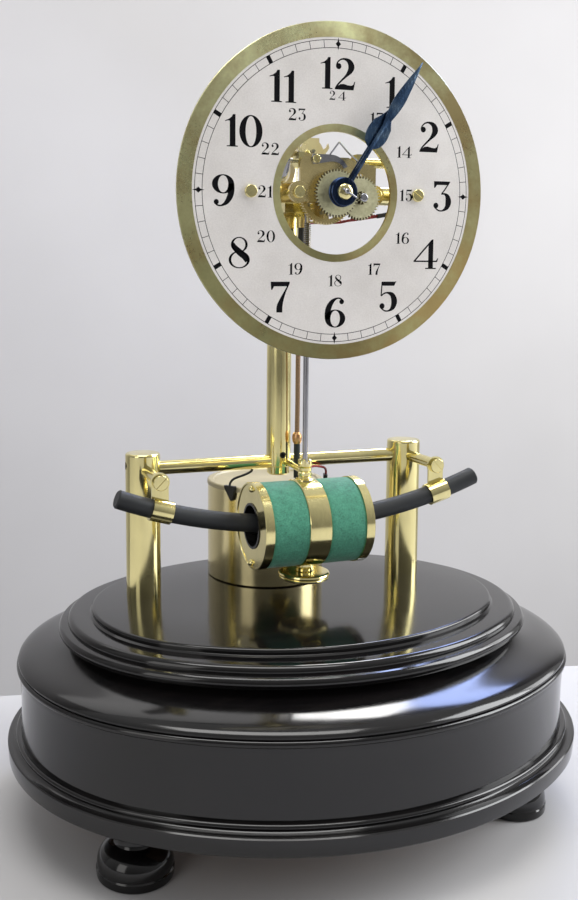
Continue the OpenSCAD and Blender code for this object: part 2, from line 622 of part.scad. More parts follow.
// Gear outlines. A tooth is given by its half widths, as parts of the pitch,
// at the root, at the pitch circle and at the tip.
function tooth(n, root, pitch, tip, w) = let (q = 360 / n) [[root, -w[0] * q], [pitch, -w[1] * q],
  [tip, -w[2] * q], [tip, w[2] * q], [pitch, w[1] * q], [root, w[0] * q]];
function gear_pts(n, m, phase, w = [0.27, 0.205, 0.06]) = [for (i = [0:n - 1])
  each [for (t = tooth(n, n * m / 2 - 1.3 * m, n * m / 2, n * m / 2 + m, w))
    let (a = phase + 360 * i / n + t[1]) [t[0] * cos(a), t[0] * sin(a)]]];

// Hands and the wheels that turn them
cannon_n = 14;
minute_n = 40;
minute_m = 2 * mesh_c / (cannon_n + minute_n);
pinion_n = 10;
hour_n = 42;
hour_m = 2 * mesh_c / (pinion_n + hour_n);
cannon_y = -38.7;
wheel_y = -38.6;
pinion_y = -41.2;
hour_y = -41;
hour_pipe_y = -46.1;
minute_pipe_y = -47.3;
minute_hand_y = -47.9;
hour_hand_y = -45.9;
arbor_r = 1;
hand_turn = minutes * 6;
hour_turn = 30 + minutes / 2;

module centre_arbor() {
  color(STEEL) difference() {
    union() {
      ycyl(0.6, -25.9, -23.7, 0, dial_z, 40);
      ycyl(arbor_r, -50.2, -25.7, 0, dial_z, 40);
      translate([0, -50.2, dial_z]) rotate([90, 0, 0]) cylinder(h = 0.4, r1 = arbor_r, r2 = 0.6, $fn = 40);
      ycyl(1.9, -29, -28.4, 0, dial_z, 40);
    }
    taper_pin(0.36);
  }
}
module taper_pin(r) {
  translate([0, -49.75, dial_z]) rotate([0, 30, 0]) translate([-1.9, 0, 0]) rotate([0, 90, 0])
    cylinder(h = 6.8, r = r, $fn = 24);
}
module cannon_pinion() {
  color(SATIN) difference() {
    union() {
      in_front(cannon_y, 2.3) polygon(gear_pts(cannon_n, minute_m, mesh_a, [0.27, 0.19, 0.06]));
      ycyl(1.7, minute_pipe_y, cannon_y + 1, 0, dial_z);
      ycyl(1.45, minute_hand_y, cannon_y, 0, dial_z);
    }
    ycyl(arbor_r, -50, -30, 0, dial_z, 40);
  }
}
module minute_hand() {
  // Drawn pointing up, then turned clockwise to the time
  edge = concat([[1.25, 5.2], [1.0, 27]], bezier_pts([[1.0, 30], [1.4, 33], [2.7, 38], [2.4, 44]], 6),
    bezier_pts([[2.1, 47], [1.6, 52], [0.9, 55], [0.25, 60.5]], 6));
  color(BLUED) translate([0, 0, dial_z]) rotate([0, hand_turn, 0]) translate([0, 0, -dial_z]) {
    difference() {
      union() {
        ycyl(5.6, minute_hand_y, minute_hand_y + 0.6, 0, dial_z, 72);
        in_front(minute_hand_y, 0.6) polygon(concat(edge, [for (i = [len(edge) - 1:-1:0])
          [-edge[i][0], edge[i][1]]]));
      }
      ycyl(1.45, -50, -40, 0, dial_z);
    }
  }
}
module hand_collet() {
  color(BRASS) difference() {
    translate([0, minute_hand_y, dial_z]) rotate([90, 0, 0]) rotate_extrude($fn = 56)
      polygon(concat([[arbor_r, 0], [3.1, 0]],
        bezier_pts([[3.2, 0.3], [3.1, 1.0], [2.2, 1.5], [arbor_r, 1.5]], 6)));
    taper_pin(0.36);
  }
}
module hand_pin() {
  color(STEEL) taper_pin(0.35);
}
module minute_wheel() {
  color(BRASS) difference() {
    translate([minute_at[0], 0, minute_at[1]]) {
      in_front(wheel_y, 1.6) polygon(gear_pts(minute_n, minute_m, mesh_a + 180 + 180 / minute_n));
      in_front(pinion_y, 2.6) polygon(gear_pts(pinion_n, hour_m, mesh_a + 180, [0.27, 0.18, 0.05]));
    }
    ycyl(0.93, -45, -35, minute_at[0], dial_z + minute_at[1]);
  }
}
module hour_wheel() {
  color(BRASS) difference() {
    union() {
      in_front(hour_y, 1.4) polygon(gear_pts(hour_n, hour_m, mesh_a + 180 / hour_n));
      ycyl(2.6, hour_y + 1, cannon_y - 0.05, 0, dial_z);
      ycyl(2.5, hour_pipe_y, hour_y + 1, 0, dial_z);
    }
    ycyl(1.74, -47, -36, 0, dial_z);
  }
}
module hour_hand() {
  spade = concat([[1.3, 5], [1.1, 19.6]], bezier_pts([[1.1, 21], [3.4, 21.6], [5.2, 25], [4.6, 29]], 7),
    bezier_pts([[4.2, 31.6], [2.6, 34], [1.4, 36], [0.3, 42]], 6));
  color(BLUED) translate([0, 0, dial_z]) rotate([0, hour_turn, 0]) translate([0, 0, -dial_z]) {
    difference() {
      union() {
        ycyl(5.8, hour_hand_y, hour_hand_y + 0.6, 0, dial_z, 72);
        in_front(hour_hand_y, 0.6) polygon(concat(spade, [for (i = [len(spade) - 1:-1:0])
          [-spade[i][0], spade[i][1]]]));
      }
      ycyl(2.5, -50, -40, 0, dial_z);
    }
  }
}

// Worm drive
worm_pitch = 1.2;
worm_root = 1.6;
worm_tip = 2.35;
worm_half = 4.8;
worm_wheel_n = 60;
module worm_wheel() {
  r = worm_wheel_n * worm_pitch / (2 * PI);
  q = 360 / worm_wheel_n;
  flank = [[-0.48, -0.295], [0.3, -0.13], [0.3, 0.13], [-0.48, 0.295]];
  color(BRASS) difference() {
    in_front(worm_y - 0.9, 1.8) difference() {
      polygon([for (i = [0:worm_wheel_n - 1]) each [for (t = flank)
        let (a = 90 + q * (i + 0.5) + t[1] * q) [(r + t[0]) * cos(a), (r + t[0]) * sin(a)]]]);
      // Four spokes
      for (a = [0:90:270]) rotate(a) intersection() {
        difference() {
          circle(9.4, $fn = 72);
          circle(4, $fn = 48);
        }
        translate([1, 1]) square(10);
      }
    }
    ycyl(1.03, -35, -25, 0, dial_z, 40);
  }
}
// Radius of the worm at x, a turns round; the thread rises between root and tip
function worm_r(x, a) = let (f = abs((((x / worm_pitch - a / 360) % 1) + 1.5) % 1 - 0.5) * worm_pitch,
  g = abs(x) > worm_half - 0.3 ? 0 : 1)
  worm_root + g * (worm_tip - worm_root) * min(1, max(0, (0.29 - f) / 0.17));
module worm_arbor() {
  step = worm_pitch / 10;
  n = round(2 * worm_half / step);
  sides = 20;
  pts = [for (i = [0:n], k = [0:sides - 1])
    let (x = -worm_half + i * step, a = 360 * k / sides, r = worm_r(x, a))
    [x, worm_y + r * cos(a - 90), dial_z + worm_dz + r * sin(a - 90)]];
  skin = [for (i = [0:n - 1], k = [0:sides - 1]) let (a = i * sides + k, b = i * sides + (k + 1) % sides)
    each [[a, a + sides, b], [b, a + sides, b + sides]]];
  ends = [for (k = [1:sides - 2]) each [[0, k, k + 1], [n * sides, n * sides + k + 1, n * sides + k]]];
  color(STEEL) {
    polyhedron(points = pts, faces = concat(skin, ends));
    xcyl(0.8, -21, -worm_half, worm_y, dial_z + worm_dz, 40);
    xcyl(0.8, worm_half, 16, worm_y, dial_z + worm_dz, 40);
  }
}
count_n = 75;
count_x = -19.4;
module count_wheel() {
  color(STEEL) difference() {
    union() {
      translate([count_x, worm_y, dial_z + worm_dz]) rotate([90, 0, 90]) linear_extrude(0.8)
        polygon([for (i = [0:count_n - 1]) each [[7.2 * cos(360 * i / count_n), 7.2 * sin(360 * i / count_n)],
          [6.75 * cos(360 * (i + 0.15) / count_n), 6.75 * sin(360 * (i + 0.15) / count_n)]]]);
      xcyl(2, count_x - 0.6, count_x + 2, worm_y, dial_z + worm_dz, 40);
    }
    xcyl(0.8, -25, -10, worm_y, dial_z + worm_dz, 40);
  }
}
lever_y = -23.4;
lever_t = 1.2;
pawl_y = -22.8;
pawl_dz = 21.5;
contact_z = 281;
module contact_lever() {
  fork = contact_z - dial_z;
  color(BRASS) difference() {
    union() {
      ycyl(2.4, lever_y, lever_y + lever_t, 0, dial_z + lever_z);
      in_front(lever_y, lever_t) polygon([[-1.3, lever_z], [1.3, lever_z], [1.3, 7.6], [2.3, 9.4],
        [2.3, fork + 2.4], [0.6, fork + 2.4], [0.6, fork - 1.8], [-0.6, fork - 1.8], [-0.6, fork + 2.4],
        [-1.4, fork + 4.2], [-16.2, fork + 5.8], [-16.2, pawl_dz + 1.4], [-17.6, pawl_dz + 1.4],
        [-17.6, fork + 3.4], [-2.3, fork + 1.6], [-2.3, 9.4], [-1.3, 7.6]]);
      xcyl(0.6, -20.8, -17.2, pawl_y, dial_z + pawl_dz, 32);
      xcyl(1.2, -21.1, -20.7, pawl_y, dial_z + pawl_dz, 32);
    }
    ycyl(0.84, -26, -20, 0, dial_z + lever_z);
  }
}
module pawl() {
  color(STEEL) difference() {
    union() {
      xcyl(1.4, -20.5, -17.8, pawl_y, dial_z + pawl_dz, 40);
      translate([-20.1, 0, dial_z]) rotate([90, 0, 90]) linear_extrude(2.1)
        polygon([[pawl_y - 1.2, 21], [-23.1, 17.4], [-22.95, 15.6], [-22.7, 13.9], [-22.4, 13.8],
          [-21.7, 15.4], [-21.6, 21]]);
    }
    xcyl(0.65, -25, -15, pawl_y, dial_z + pawl_dz, 40);
  }
}

// Pendulum
rod_bottom = coil_z + 13;
spring_z0 = 245.6;
curl_n = 15;
curl_pitch = 0.85;
curl_r = 1.45;
wire_r = 0.2;
pend_r = 1.2;
module pendulum_rod() {
  color(STEEL) difference() {
    union() {
      translate([0, -swing_y, rod_bottom]) cylinder(h = pivot_z - rod_bottom, r = pend_r);
      ycyl(2.4, -swing_y - 1.4, -swing_y + 1.4, 0, pivot_z);
    }
    ycyl(pin_r + 0.05, -swing_y - 3, -swing_y + 3, 0, pivot_z);
    ycyl(0.5, -swing_y - 3, -swing_y, 0, contact_z, 32);
  }
}
// The curls are one unbroken tube, eight rings to a curl
curls = [for (i = [0:8 * curl_n]) [curl_r * cos(45 * i), curl_r * sin(45 * i) - swing_y,
  spring_z0 + curl_pitch * i / 8]];
curl_gap = min([for (i = [0:7], j = [i + 6:i + 10]) norm(curls[i] - curls[j])]) - 2 * wire_r;
echo(least_gap_between_curls = curl_gap);
module rod_spring() {
  color(STEEL) tube(curls, wire_r, 6);
}
module contact_pin() {
  color(SILVER) ycyl(0.5, -23.9, -swing_y, 0, contact_z, 32);
}
nut_z = coil_z + coil_r - 0.6;
module bob_nuts() {
  color(BRASS) translate([0, -swing_y, 0]) difference() {
    // Saddle collar, two nuts and a washer
    rotate_extrude($fn = 56) polygon([[0, nut_z], [4.4, nut_z], [4.3, nut_z + 1], [3, nut_z + 1.6],
      [2.7, nut_z + 2], [3.1, nut_z + 2.6], [3.1, nut_z + 3.8], [2.6, nut_z + 4.3], [2.9, nut_z + 4.8],
      [2.9, nut_z + 6], [2.4, nut_z + 6.4], [3.2, nut_z + 6.8], [3.2, nut_z + 9.4], [2.4, nut_z + 10],
      [2.1, nut_z + 8], [0, nut_z + 8]]);
    translate([0, 0, nut_z - 1]) cylinder(h = 20, r = pend_r);
    xcyl(coil_r, -8, 8, 0, coil_z, 96);
    // Horns of the castellated nut
    for (a = [0, 60, 120]) rotate([0, 0, a + 30]) translate([-5, -0.9, nut_z + 8]) cube([10, 1.8, 4]);
  }
}
tube_r = 10;
tube_in = 9;
module coil_tube() {
  color(BLACK) difference() {
    xcyl(tube_r, -coil_half, coil_half, -swing_y, coil_z, 72);
    xcyl(tube_in, -coil_half - 1, coil_half + 1, -swing_y, coil_z, 72);
  }
}
flange_t = 4;
band_half = 5;
// A ring on the coil's axis, from a profile of [radius, distance along X]
module coil_ring(pts, fn = 120) {
  translate([0, -swing_y, coil_z]) rotate([0, 90, 0]) rotate_extrude($fn = fn) polygon(pts);
}
screw_ring = 16.4;
module end_flanges() {
  x = coil_half;
  color(BRASS) for (s = [0, 1]) mirror([s, 0, 0]) difference() {
    coil_ring([[tube_r, x - flange_t], [coil_r, x - flange_t], [coil_r, x - 0.2], [coil_r - 0.2, x],
      [coil_r - 0.8, x], [coil_r - 1, x - 0.4], [tube_r, x - 0.4]]);
    for (z = [-screw_ring, screw_ring]) xcyl(0.8, x - 3, x + 1, -swing_y, coil_z + z, 32);
  }
}
module coil_windings() {
  color(GREEN) for (s = [0, 1]) mirror([s, 0, 0])
    coil_ring([[tube_r, band_half], [coil_r - 0.3, band_half], [coil_r - 0.3, coil_half - flange_t],
      [tube_r, coil_half - flange_t]]);
}
module centre_band() {
  color(BRASS) difference() {
    coil_ring([[tube_r, -band_half], [coil_r - 0.3, -band_half], [coil_r, -band_half + 0.3],
      [coil_r, band_half - 0.3], [coil_r - 0.3, band_half], [tube_r, band_half]]);
    translate([0, -swing_y, rod_bottom]) cylinder(h = 10, r = pend_r);
    translate([0, -swing_y, coil_z - 23]) cylinder(h = 9, r = stem_r, $fn = 40);
  }
}
module flange_screws() {
  x = coil_half - 0.4;
  color(BRASS) for (s = [0, 1], z = [-screw_ring, screw_ring])
    mirror([s, 0, 0]) translate([x, -swing_y, coil_z + z]) rotate([0, 90, 0]) rotate_extrude($fn = 40)
      polygon(concat([[0, -2.6], [0.8, -2.6], [0.8, 0]], arc_pts(0, 0, 1.6, 0, 90, 8)));
}
stem_r = 1.5;
stem_top = coil_z - coil_r + 4;
stem_bottom = 100.6;
module rating_stem() {
  foot = coil_z - coil_r;
  color(BRASS) translate([0, -swing_y, 0]) difference() {
    rotate_extrude($fn = 48) polygon([[0, stem_bottom], [stem_r - 0.3, stem_bottom],
      [stem_r, stem_bottom + 0.3], [stem_r, foot - 0.8], [4.4, foot - 0.4], [4.4, foot + 0.6],
      [stem_r, foot + 0.6], [stem_r, stem_top], [0, stem_top]]);
    translate([0, 0, coil_z]) difference() {
      xcyl(coil_r, -8, 8, 0, 0, 96);
      translate([0, 0, -coil_r]) cylinder(h = 8, r = stem_r, center = true, $fn = 40);
    }
  }
}
nut_bottom = 102.3;
module rating_nut() {
  z = nut_bottom;
  color(BRASS) translate([0, -swing_y, 0]) rotate_extrude($fn = 96)
    polygon([[stem_r + 0.05, z], [7, z], [10.2, z + 0.3], [10.8, z + 0.7], [10.9, z + 1.3], [10.6, z + 1.7],
      [11.2, z + 2.1], [11.4, z + 2.7], [11.1, z + 3.3], [10.4, z + 3.6], [4.2, z + 3.6], [3.4, z + 4],
      [3.4, z + 5], [3, z + 5.3], [stem_r + 0.05, z + 5.3]]);
}

plinth_top();
plinth_body();
plinth_moulding();
plinth_floor();
feet();
left_post();
right_post();
cross_rod();
grub_screws();
column();
steady_arm();
magnet_arms();
magnet_clips();
slotted_screws();
magnet();
battery_can();
battery_lid();
terminal_boots();
earth_lead();
red_leads();
lead_sleeves();
lead_joint();
main_lead();
movement_yoke();
suspension_cock();
suspension_saddle();
dial_bar();
bar_pillars();
front_plate();
back_plate();
worm_bearings();
leaf_springs();
steel_studs();
terminal_post();
dial_plate();
chapter_ring();
centre_arbor();
cannon_pinion();
minute_hand();
hand_collet();
hand_pin();
minute_wheel();
hour_wheel();
hour_hand();
worm_wheel();
worm_arbor();
count_wheel();
contact_lever();
pawl();
pendulum_rod();
rod_spring();
contact_pin();
bob_nuts();
coil_tube();
end_flanges();
coil_windings();
centre_band();
flange_screws();
rating_stem();
rating_nut();
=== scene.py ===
# %% [markdown]
# An early electric clock of black wood and polished brass. A coil hangs on
# the pendulum and swings over a fixed curved magnet, and the clockwork shows
# through the open middle of the dial. The measured solids come in first and
# stay where they are. Everything below gives them their finish, or stands a
# finer mesh in the place of one of them. Lengths on the clock are written in
# millimetres and turned into metres by MM. The room round it is in metres.

# %% Load the solids
import json
import math
import bpy
import bmesh
from mathutils import Matrix, Vector


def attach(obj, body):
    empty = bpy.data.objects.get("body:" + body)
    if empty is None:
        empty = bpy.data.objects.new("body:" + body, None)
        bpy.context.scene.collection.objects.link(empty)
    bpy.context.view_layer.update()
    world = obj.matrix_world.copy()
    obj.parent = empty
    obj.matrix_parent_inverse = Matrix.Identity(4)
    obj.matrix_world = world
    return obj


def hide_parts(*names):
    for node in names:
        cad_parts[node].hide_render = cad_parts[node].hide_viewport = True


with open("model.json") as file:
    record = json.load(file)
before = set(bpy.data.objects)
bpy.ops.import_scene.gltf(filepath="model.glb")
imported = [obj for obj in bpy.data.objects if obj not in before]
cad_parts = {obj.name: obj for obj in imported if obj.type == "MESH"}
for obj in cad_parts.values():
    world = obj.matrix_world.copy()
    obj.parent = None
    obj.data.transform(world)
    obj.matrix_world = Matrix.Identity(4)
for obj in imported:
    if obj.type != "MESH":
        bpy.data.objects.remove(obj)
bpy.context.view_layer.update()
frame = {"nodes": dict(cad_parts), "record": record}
NODES = frame["nodes"]
MM = 0.001
DIAL_Z = 268.0
PENDULUM_Y = -11.5
COIL_Z = 128.0

# %% [markdown]
# The camera stands left of the clock and a little lower than the middle of
# its dial, looking slightly down. It could be found by eye, but the ovals of
# the plinth and the circle of the dial tell where it stood, so its place, its
# angles and its focal length in pixels are numbers here. The picture is part
# of a wider one, and a shifted lens puts the middle of that one where it
# belongs.

# %% Camera
IMAGE_W, IMAGE_H = 578, 900
FOCAL_PX = 976.3
AXIS_PX = (199.3, 400.9)
EYE = Vector((-168.27, -401.71, 231.16)) * MM
YAW, PITCH, ROLL = 0.2979, 0.1161, -0.0024

camera = bpy.data.objects.new("camera", bpy.data.cameras.new("camera"))
bpy.context.scene.collection.objects.link(camera)
bpy.context.scene.camera = camera
lens = camera.data
lens.sensor_fit = "VERTICAL"
lens.sensor_height = 36
lens.lens = FOCAL_PX / IMAGE_H * lens.sensor_height
lens.shift_x = (IMAGE_W / 2 - AXIS_PX[0]) / IMAGE_H
lens.shift_y = (AXIS_PX[1] - IMAGE_H / 2) / IMAGE_H
lens.clip_start = 0.01
look = Vector((math.sin(YAW) * math.cos(PITCH), math.cos(YAW) * math.cos(PITCH), -math.sin(PITCH)))
side = Vector((math.cos(YAW), -math.sin(YAW), 0))
above = side.cross(look)
turn = Matrix((side, above, -look)).transposed().to_4x4()
camera.matrix_world = Matrix.Translation(EYE) @ turn @ Matrix.Rotation(ROLL, 4, "Z")
print("lens", round(lens.lens, 2), "shift", round(lens.shift_x, 4), round(lens.shift_y, 4))

# %% [markdown]
# Meshes are written as points and faces. A grid of points covers most of
# what a maker turns, bends or carries along a path, so one helper names the
# faces of a grid and another keeps real edges crisp while the rest is smooth.

# %% Small helpers for meshes
def add_object(name, data):
    piece = bpy.data.objects.new(name, data)
    bpy.context.scene.collection.objects.link(piece)
    return piece


def mesh_object(name, verts, faces, smooth=True):
    mesh = bpy.data.meshes.new(name)
    mesh.from_pydata([tuple(v) for v in verts], [], faces)
    mesh.polygons.foreach_set("use_smooth", [smooth] * len(mesh.polygons))
    mesh.update()
    return add_object(name, mesh)


def strip_faces(rows, columns, close_rows=False, close_columns=False):
    """Faces of a grid of points that is rows long and columns wide."""
    faces = []
    for i in range(rows if close_rows else rows - 1):
        for j in range(columns if close_columns else columns - 1):
            a, b = i * columns + j, i * columns + (j + 1) % columns
            c, d = ((i + 1) % rows) * columns + (j + 1) % columns, ((i + 1) % rows) * columns + j
            faces.append((a, b, c, d))
    return faces


def sharpen(piece, degrees=32):
    """Keeps the edges crisp where two faces meet at more than this angle."""
    mesh = piece.data
    bm = bmesh.new()
    bm.from_mesh(mesh)
    bmesh.ops.recalc_face_normals(bm, faces=bm.faces)
    for edge in bm.edges:
        if len(edge.link_faces) == 2:
            edge.smooth = edge.calc_face_angle(0) < math.radians(degrees)
    bm.to_mesh(mesh)
    bm.free()
    return piece


print("faces of a grid of 3 by 4 points:", len(strip_faces(3, 4)))

# %% [markdown]
# The photograph was taken on a pale shelf before a pale wall, by soft window
# light from the right. The shelf ends a finger's breadth behind the clock and
# stands a little askew. Polished brass is seen by what it reflects, so the
# shelf, the wall and each bright pane matter as much as the brass itself.

# %% Shelf and wall
def flat_board(name, low, high):
    """A board with its lowest and highest corners in metres."""
    verts = [(x, y, z) for x in (low[0], high[0]) for y in (low[1], high[1]) for z in (low[2], high[2])]
    faces = [(0, 1, 3, 2), (4, 6, 7, 5), (0, 4, 5, 1), (2, 3, 7, 6), (0, 2, 6, 4), (1, 5, 7, 3)]
    board = mesh_object(name, verts, faces, smooth=False)
    return board


SHELF_TURN = -10
shelf = flat_board("shelf", (-2.2, -1.6, -0.02), (2.2, 0.118, 0.0))
shelf.rotation_euler = (0, 0, math.radians(SHELF_TURN))
wall = flat_board("wall", (-2.6, 0.95, -1.0), (2.6, 0.97, 2.2))
print("shelf turned by", SHELF_TURN, "degrees; wall", round(wall.dimensions.x, 2), "m wide")

# %% [markdown]
# A window does most of the work from the right, and the sky and the room fill
# in. Two small panes high behind the clock are there for one thing: the white
# and the blue streak on the shoulder of the plinth. A streak could be painted,
# but then it would stay where it is when the clock turns. Each pane stands
# where a ray from the camera goes after it leaves the shoulder.

# %% Lights
def area_light(name, place, aim, size, power, colour):
    """A soft rectangle of light; places and sizes in metres, power in watts."""
    data = bpy.data.lights.new(name, "AREA")
    data.shape = "RECTANGLE"
    data.size, data.size_y = size
    data.energy = power
    data.color = colour
    lamp = add_object(name, data)
    lamp.visible_camera = False
    lamp.location = place
    lamp.rotation_euler = (Vector(aim) - Vector(place)).to_track_quat("-Z", "Y").to_euler()
    return lamp


SHOULDER_MIDDLE = (-0.01, -0.088, 0.076)
SHOULDER_RIGHT = (0.02, -0.088, 0.075)
area_light("window", (1.45, -0.45, 0.95), (0, 0, 0.16), (0.8, 1.1), 25, (0.97, 0.985, 1.0))
area_light("wall_wash", (1.45, 0.10, 0.45), (0.95, 0.95, 0.10), (0.7, 0.6), 6, (0.98, 0.99, 1.0))
area_light("ceiling", (-0.14, 0.68, 1.03), (-0.08, -0.06, 0.076), (0.85, 0.45), 1.1, (1.0, 0.99, 0.98))
area_light("skylight", (-0.1, -0.35, 1.75), (0, 0, 0.1), (1.3, 0.6), 14.5, (1.0, 0.99, 0.97))
area_light("room", (-1.35, -0.9, 0.7), (0, 0, 0.2), (0.7, 1.2), 4.5, (1.0, 0.98, 0.95))
area_light("high_pane", (0.353, 0.456, 0.806), SHOULDER_MIDDLE, (0.22, 0.15), 2.0, (1.0, 0.99, 0.97))
area_light("side_pane", (0.54, 0.42, 0.69), SHOULDER_RIGHT, (0.36, 0.17), 2.4, (0.42, 0.54, 1.0))


def room_light(strength, darkest, brightest):
    """A dim room in front of the clock that gets lighter behind and above it."""
    world = bpy.data.worlds.new("room")
    bpy.context.scene.world = world
    world.use_nodes = True
    tree = world.node_tree
    place = tree.nodes.new("ShaderNodeTexCoord").outputs["Generated"]
    along = tree.nodes.new("ShaderNodeVectorMath")
    along.operation = "DOT_PRODUCT"
    along.inputs[1].default_value = (0.35, 0.60, 0.72)
    ramp = tree.nodes.new("ShaderNodeMapRange")
    ramp.inputs["From Min"].default_value = -0.7
    ramp.inputs["From Max"].default_value = 0.7
    ramp.inputs["To Min"].default_value = darkest
    ramp.inputs["To Max"].default_value = brightest
    tree.links.new(place, along.inputs[0])
    tree.links.new(along.outputs["Value"], ramp.inputs["Value"])
    tree.links.new(ramp.outputs["Result"], tree.nodes["Background"].inputs["Color"])
    tree.nodes["Background"].inputs["Strength"].default_value = strength


room_light(strength=0.75, darkest=0.17, brightest=0.85)
bpy.context.scene.view_settings.view_transform = "Standard"

# %% [markdown]
# A finish is a small tree of nodes. Each one starts from the same shader and
# gets its own noise: broad noise for slow changes of tone, fine noise for
# grain, and a bump so that the light breaks on it. Colours are written as the
# eye sees them and turned into linear light once, here.

# %% A workbench for finishes
def linear(rgb):
    """Colour as seen, 0 to 255, as linear light."""
    out = []
    for c in rgb:
        c = c / 255
        out.append(c / 12.92 if c <= 0.04045 else ((c + 0.055) / 1.055) ** 2.4)
    return (*out, 1.0)


class Finish:
    """One material and the few moves that all the finishes are made of."""

    def __init__(self, name, metallic=0.0, **sockets):
        self.material = bpy.data.materials.new(name)
        self.material.use_nodes = True
        self.tree = self.material.node_tree
        self.shader = self.tree.nodes["Principled BSDF"]
        self.shader.inputs["Metallic"].default_value = metallic
        for key, value in sockets.items():
            self.shader.inputs[key.replace("_", " ")].default_value = value
        self.place = self.tree.nodes.new("ShaderNodeTexCoord").outputs["Object"]

    def stretched(self, scale):
        node = self.tree.nodes.new("ShaderNodeMapping")
        node.inputs["Scale"].default_value = scale
        self.tree.links.new(self.place, node.inputs["Vector"])
        return node.outputs["Vector"]

    def noise(self, scale, detail=4.0, rough=0.55, stretch=None, distortion=0.0):
        node = self.tree.nodes.new("ShaderNodeTexNoise")
        node.inputs["Scale"].default_value = scale
        node.inputs["Detail"].default_value = detail
        node.inputs["Roughness"].default_value = rough
        node.inputs["Distortion"].default_value = distortion
        vector = self.stretched(stretch) if stretch else self.place
        self.tree.links.new(vector, node.inputs["Vector"])
        return node.outputs["Fac"]

    def ramp(self, value, stops):
        node = self.tree.nodes.new("ShaderNodeValToRGB")
        while len(node.color_ramp.elements) < len(stops):
            node.color_ramp.elements.new(0.5)
        for element, (at, colour) in zip(node.color_ramp.elements, stops):
            element.position = at
            element.color = colour
        self.tree.links.new(value, node.inputs["Fac"])
        return node.outputs["Color"]

    def spread(self, value, low, high, at=(0.3, 0.7)):
        """Turns noise into a number between low and high."""
        node = self.tree.nodes.new("ShaderNodeMapRange")
        node.inputs["From Min"].default_value = at[0]
        node.inputs["From Max"].default_value = at[1]
        node.inputs["To Min"].default_value = low
        node.inputs["To Max"].default_value = high
        self.tree.links.new(value, node.inputs["Value"])
        return node.outputs["Result"]

    def mix(self, fac, a, b, blend="MIX"):
        node = self.tree.nodes.new("ShaderNodeMix")
        node.data_type = "RGBA"
        node.blend_type = blend
        sockets = [s for s in node.inputs if s.type == "RGBA"]
        for socket, value in zip(sockets, (a, b)):
            if isinstance(value, tuple):
                socket.default_value = value
            else:
                self.tree.links.new(value, socket)
        if isinstance(fac, float):
            node.inputs["Factor"].default_value = fac
        else:
            self.tree.links.new(fac, node.inputs["Factor"])
        return [s for s in node.outputs if s.type == "RGBA"][0]

    def total(self, a, b, weight=1.0):
        """a plus b times weight."""
        node = self.tree.nodes.new("ShaderNodeMath")
        node.operation = "MULTIPLY_ADD"
        self.tree.links.new(b, node.inputs[0])
        node.inputs[1].default_value = weight
        self.tree.links.new(a, node.inputs[2])
        return node.outputs["Value"]

    def vector(self, operation, value, other=None):
        """One step of vector arithmetic."""
        node = self.tree.nodes.new("ShaderNodeVectorMath")
        node.operation = operation
        self.tree.links.new(value, node.inputs[0])
        if other:
            node.inputs[1].default_value = other
        return node

    def parts(self, value):
        """The three parts of a vector, by their letters."""
        node = self.tree.nodes.new("ShaderNodeSeparateXYZ")
        self.tree.links.new(value, node.inputs["Vector"])
        return node.outputs

    def feed(self, socket, value):
        self.tree.links.new(value, self.shader.inputs[socket])
        return self

    def bump(self, value, height_mm, strength=1.0):
        node = self.tree.nodes.new("ShaderNodeBump")
        node.inputs["Strength"].default_value = strength
        node.inputs["Distance"].default_value = height_mm * MM
        self.tree.links.new(value, node.inputs["Height"])
        self.tree.links.new(node.outputs["Normal"], self.shader.inputs["Normal"])
        return self


def shades(colour, spread=0.12):
    """A darker and a lighter neighbour of a colour as seen."""
    dark = linear([c * (1 - spread) for c in colour])
    light = linear([min(255, c * (1 + spread * 0.6)) for c in colour])
    return dark, light


print("mid grey as linear light:", round(linear((128, 128, 128))[0], 4))

# %% [markdown]
# Brass is nearly all reflection, so its colour sits in the metal and its age
# in the roughness. The posts and rods are lacquered and mirror-like with faint
# wiping marks. The plates are grained and browner. The dial's rim is grained
# round and round on a lathe, which spreads its highlights across the grain,
# and it has gone brown where hands and damp reached it. Its lower part is
# also painted darker than its top, as painted shade.

# %% Brasses
def brass(name, colour, rough, grain, stretch, spread=0.10, height=0.004, turned=0.0, stain_and_shade=0.0,
          metallic=1.0):
    """Colour as seen; roughness from and to; grain and its stretch; turned from 0 to 1;
    stain_and_shade from 0 to 1 gives the brown patches, and above 0 also paints shade on the lower part.
    """
    f = Finish(name, metallic=metallic, Anisotropic=turned)
    broad = f.noise(38, detail=3)
    fine = f.noise(grain, detail=6, stretch=stretch)
    dark, light = shades(colour, spread)
    colouring = f.ramp(f.total(broad, fine, 0.35), [(0.45, dark), (0.9, light)])
    if stain_and_shade:
        place = f.parts(f.place)
        aged_side = f.spread(place["X"], 0.0, 0.24, at=(-0.07, 0.07))
        # Painted shade: below about 0.24 m the colour is darkened, and above 0.32 m it is left full, so the
        # top looks lit.
        painted_light_from_above = f.spread(place["Z"], 0.0, 1.0, at=(0.24, 0.32))
        colouring = f.mix(painted_light_from_above, f.mix(1.0, colouring, (0.52, 0.50, 0.42, 1.0), "MULTIPLY"), colouring)
        patches = f.spread(f.total(f.noise(55, detail=7, rough=0.65), aged_side), 0, stain_and_shade, at=(0.50, 0.78))
        browned = linear([c * k for c, k in zip(colour, (0.70, 0.57, 0.46))])
        colouring = f.mix(patches, colouring, browned)
    f.feed("Base Color", colouring)
    f.feed("Roughness", f.spread(f.total(broad, fine, 0.5), rough[0], rough[1], at=(0.4, 1.1)))
    f.bump(fine, height, 0.5)
    if turned:
        lines = f.tree.nodes.new("ShaderNodeTangent")
        lines.direction_type, lines.axis = "RADIAL", "Y"
        f.feed("Tangent", lines.outputs["Tangent"])
    return f.material


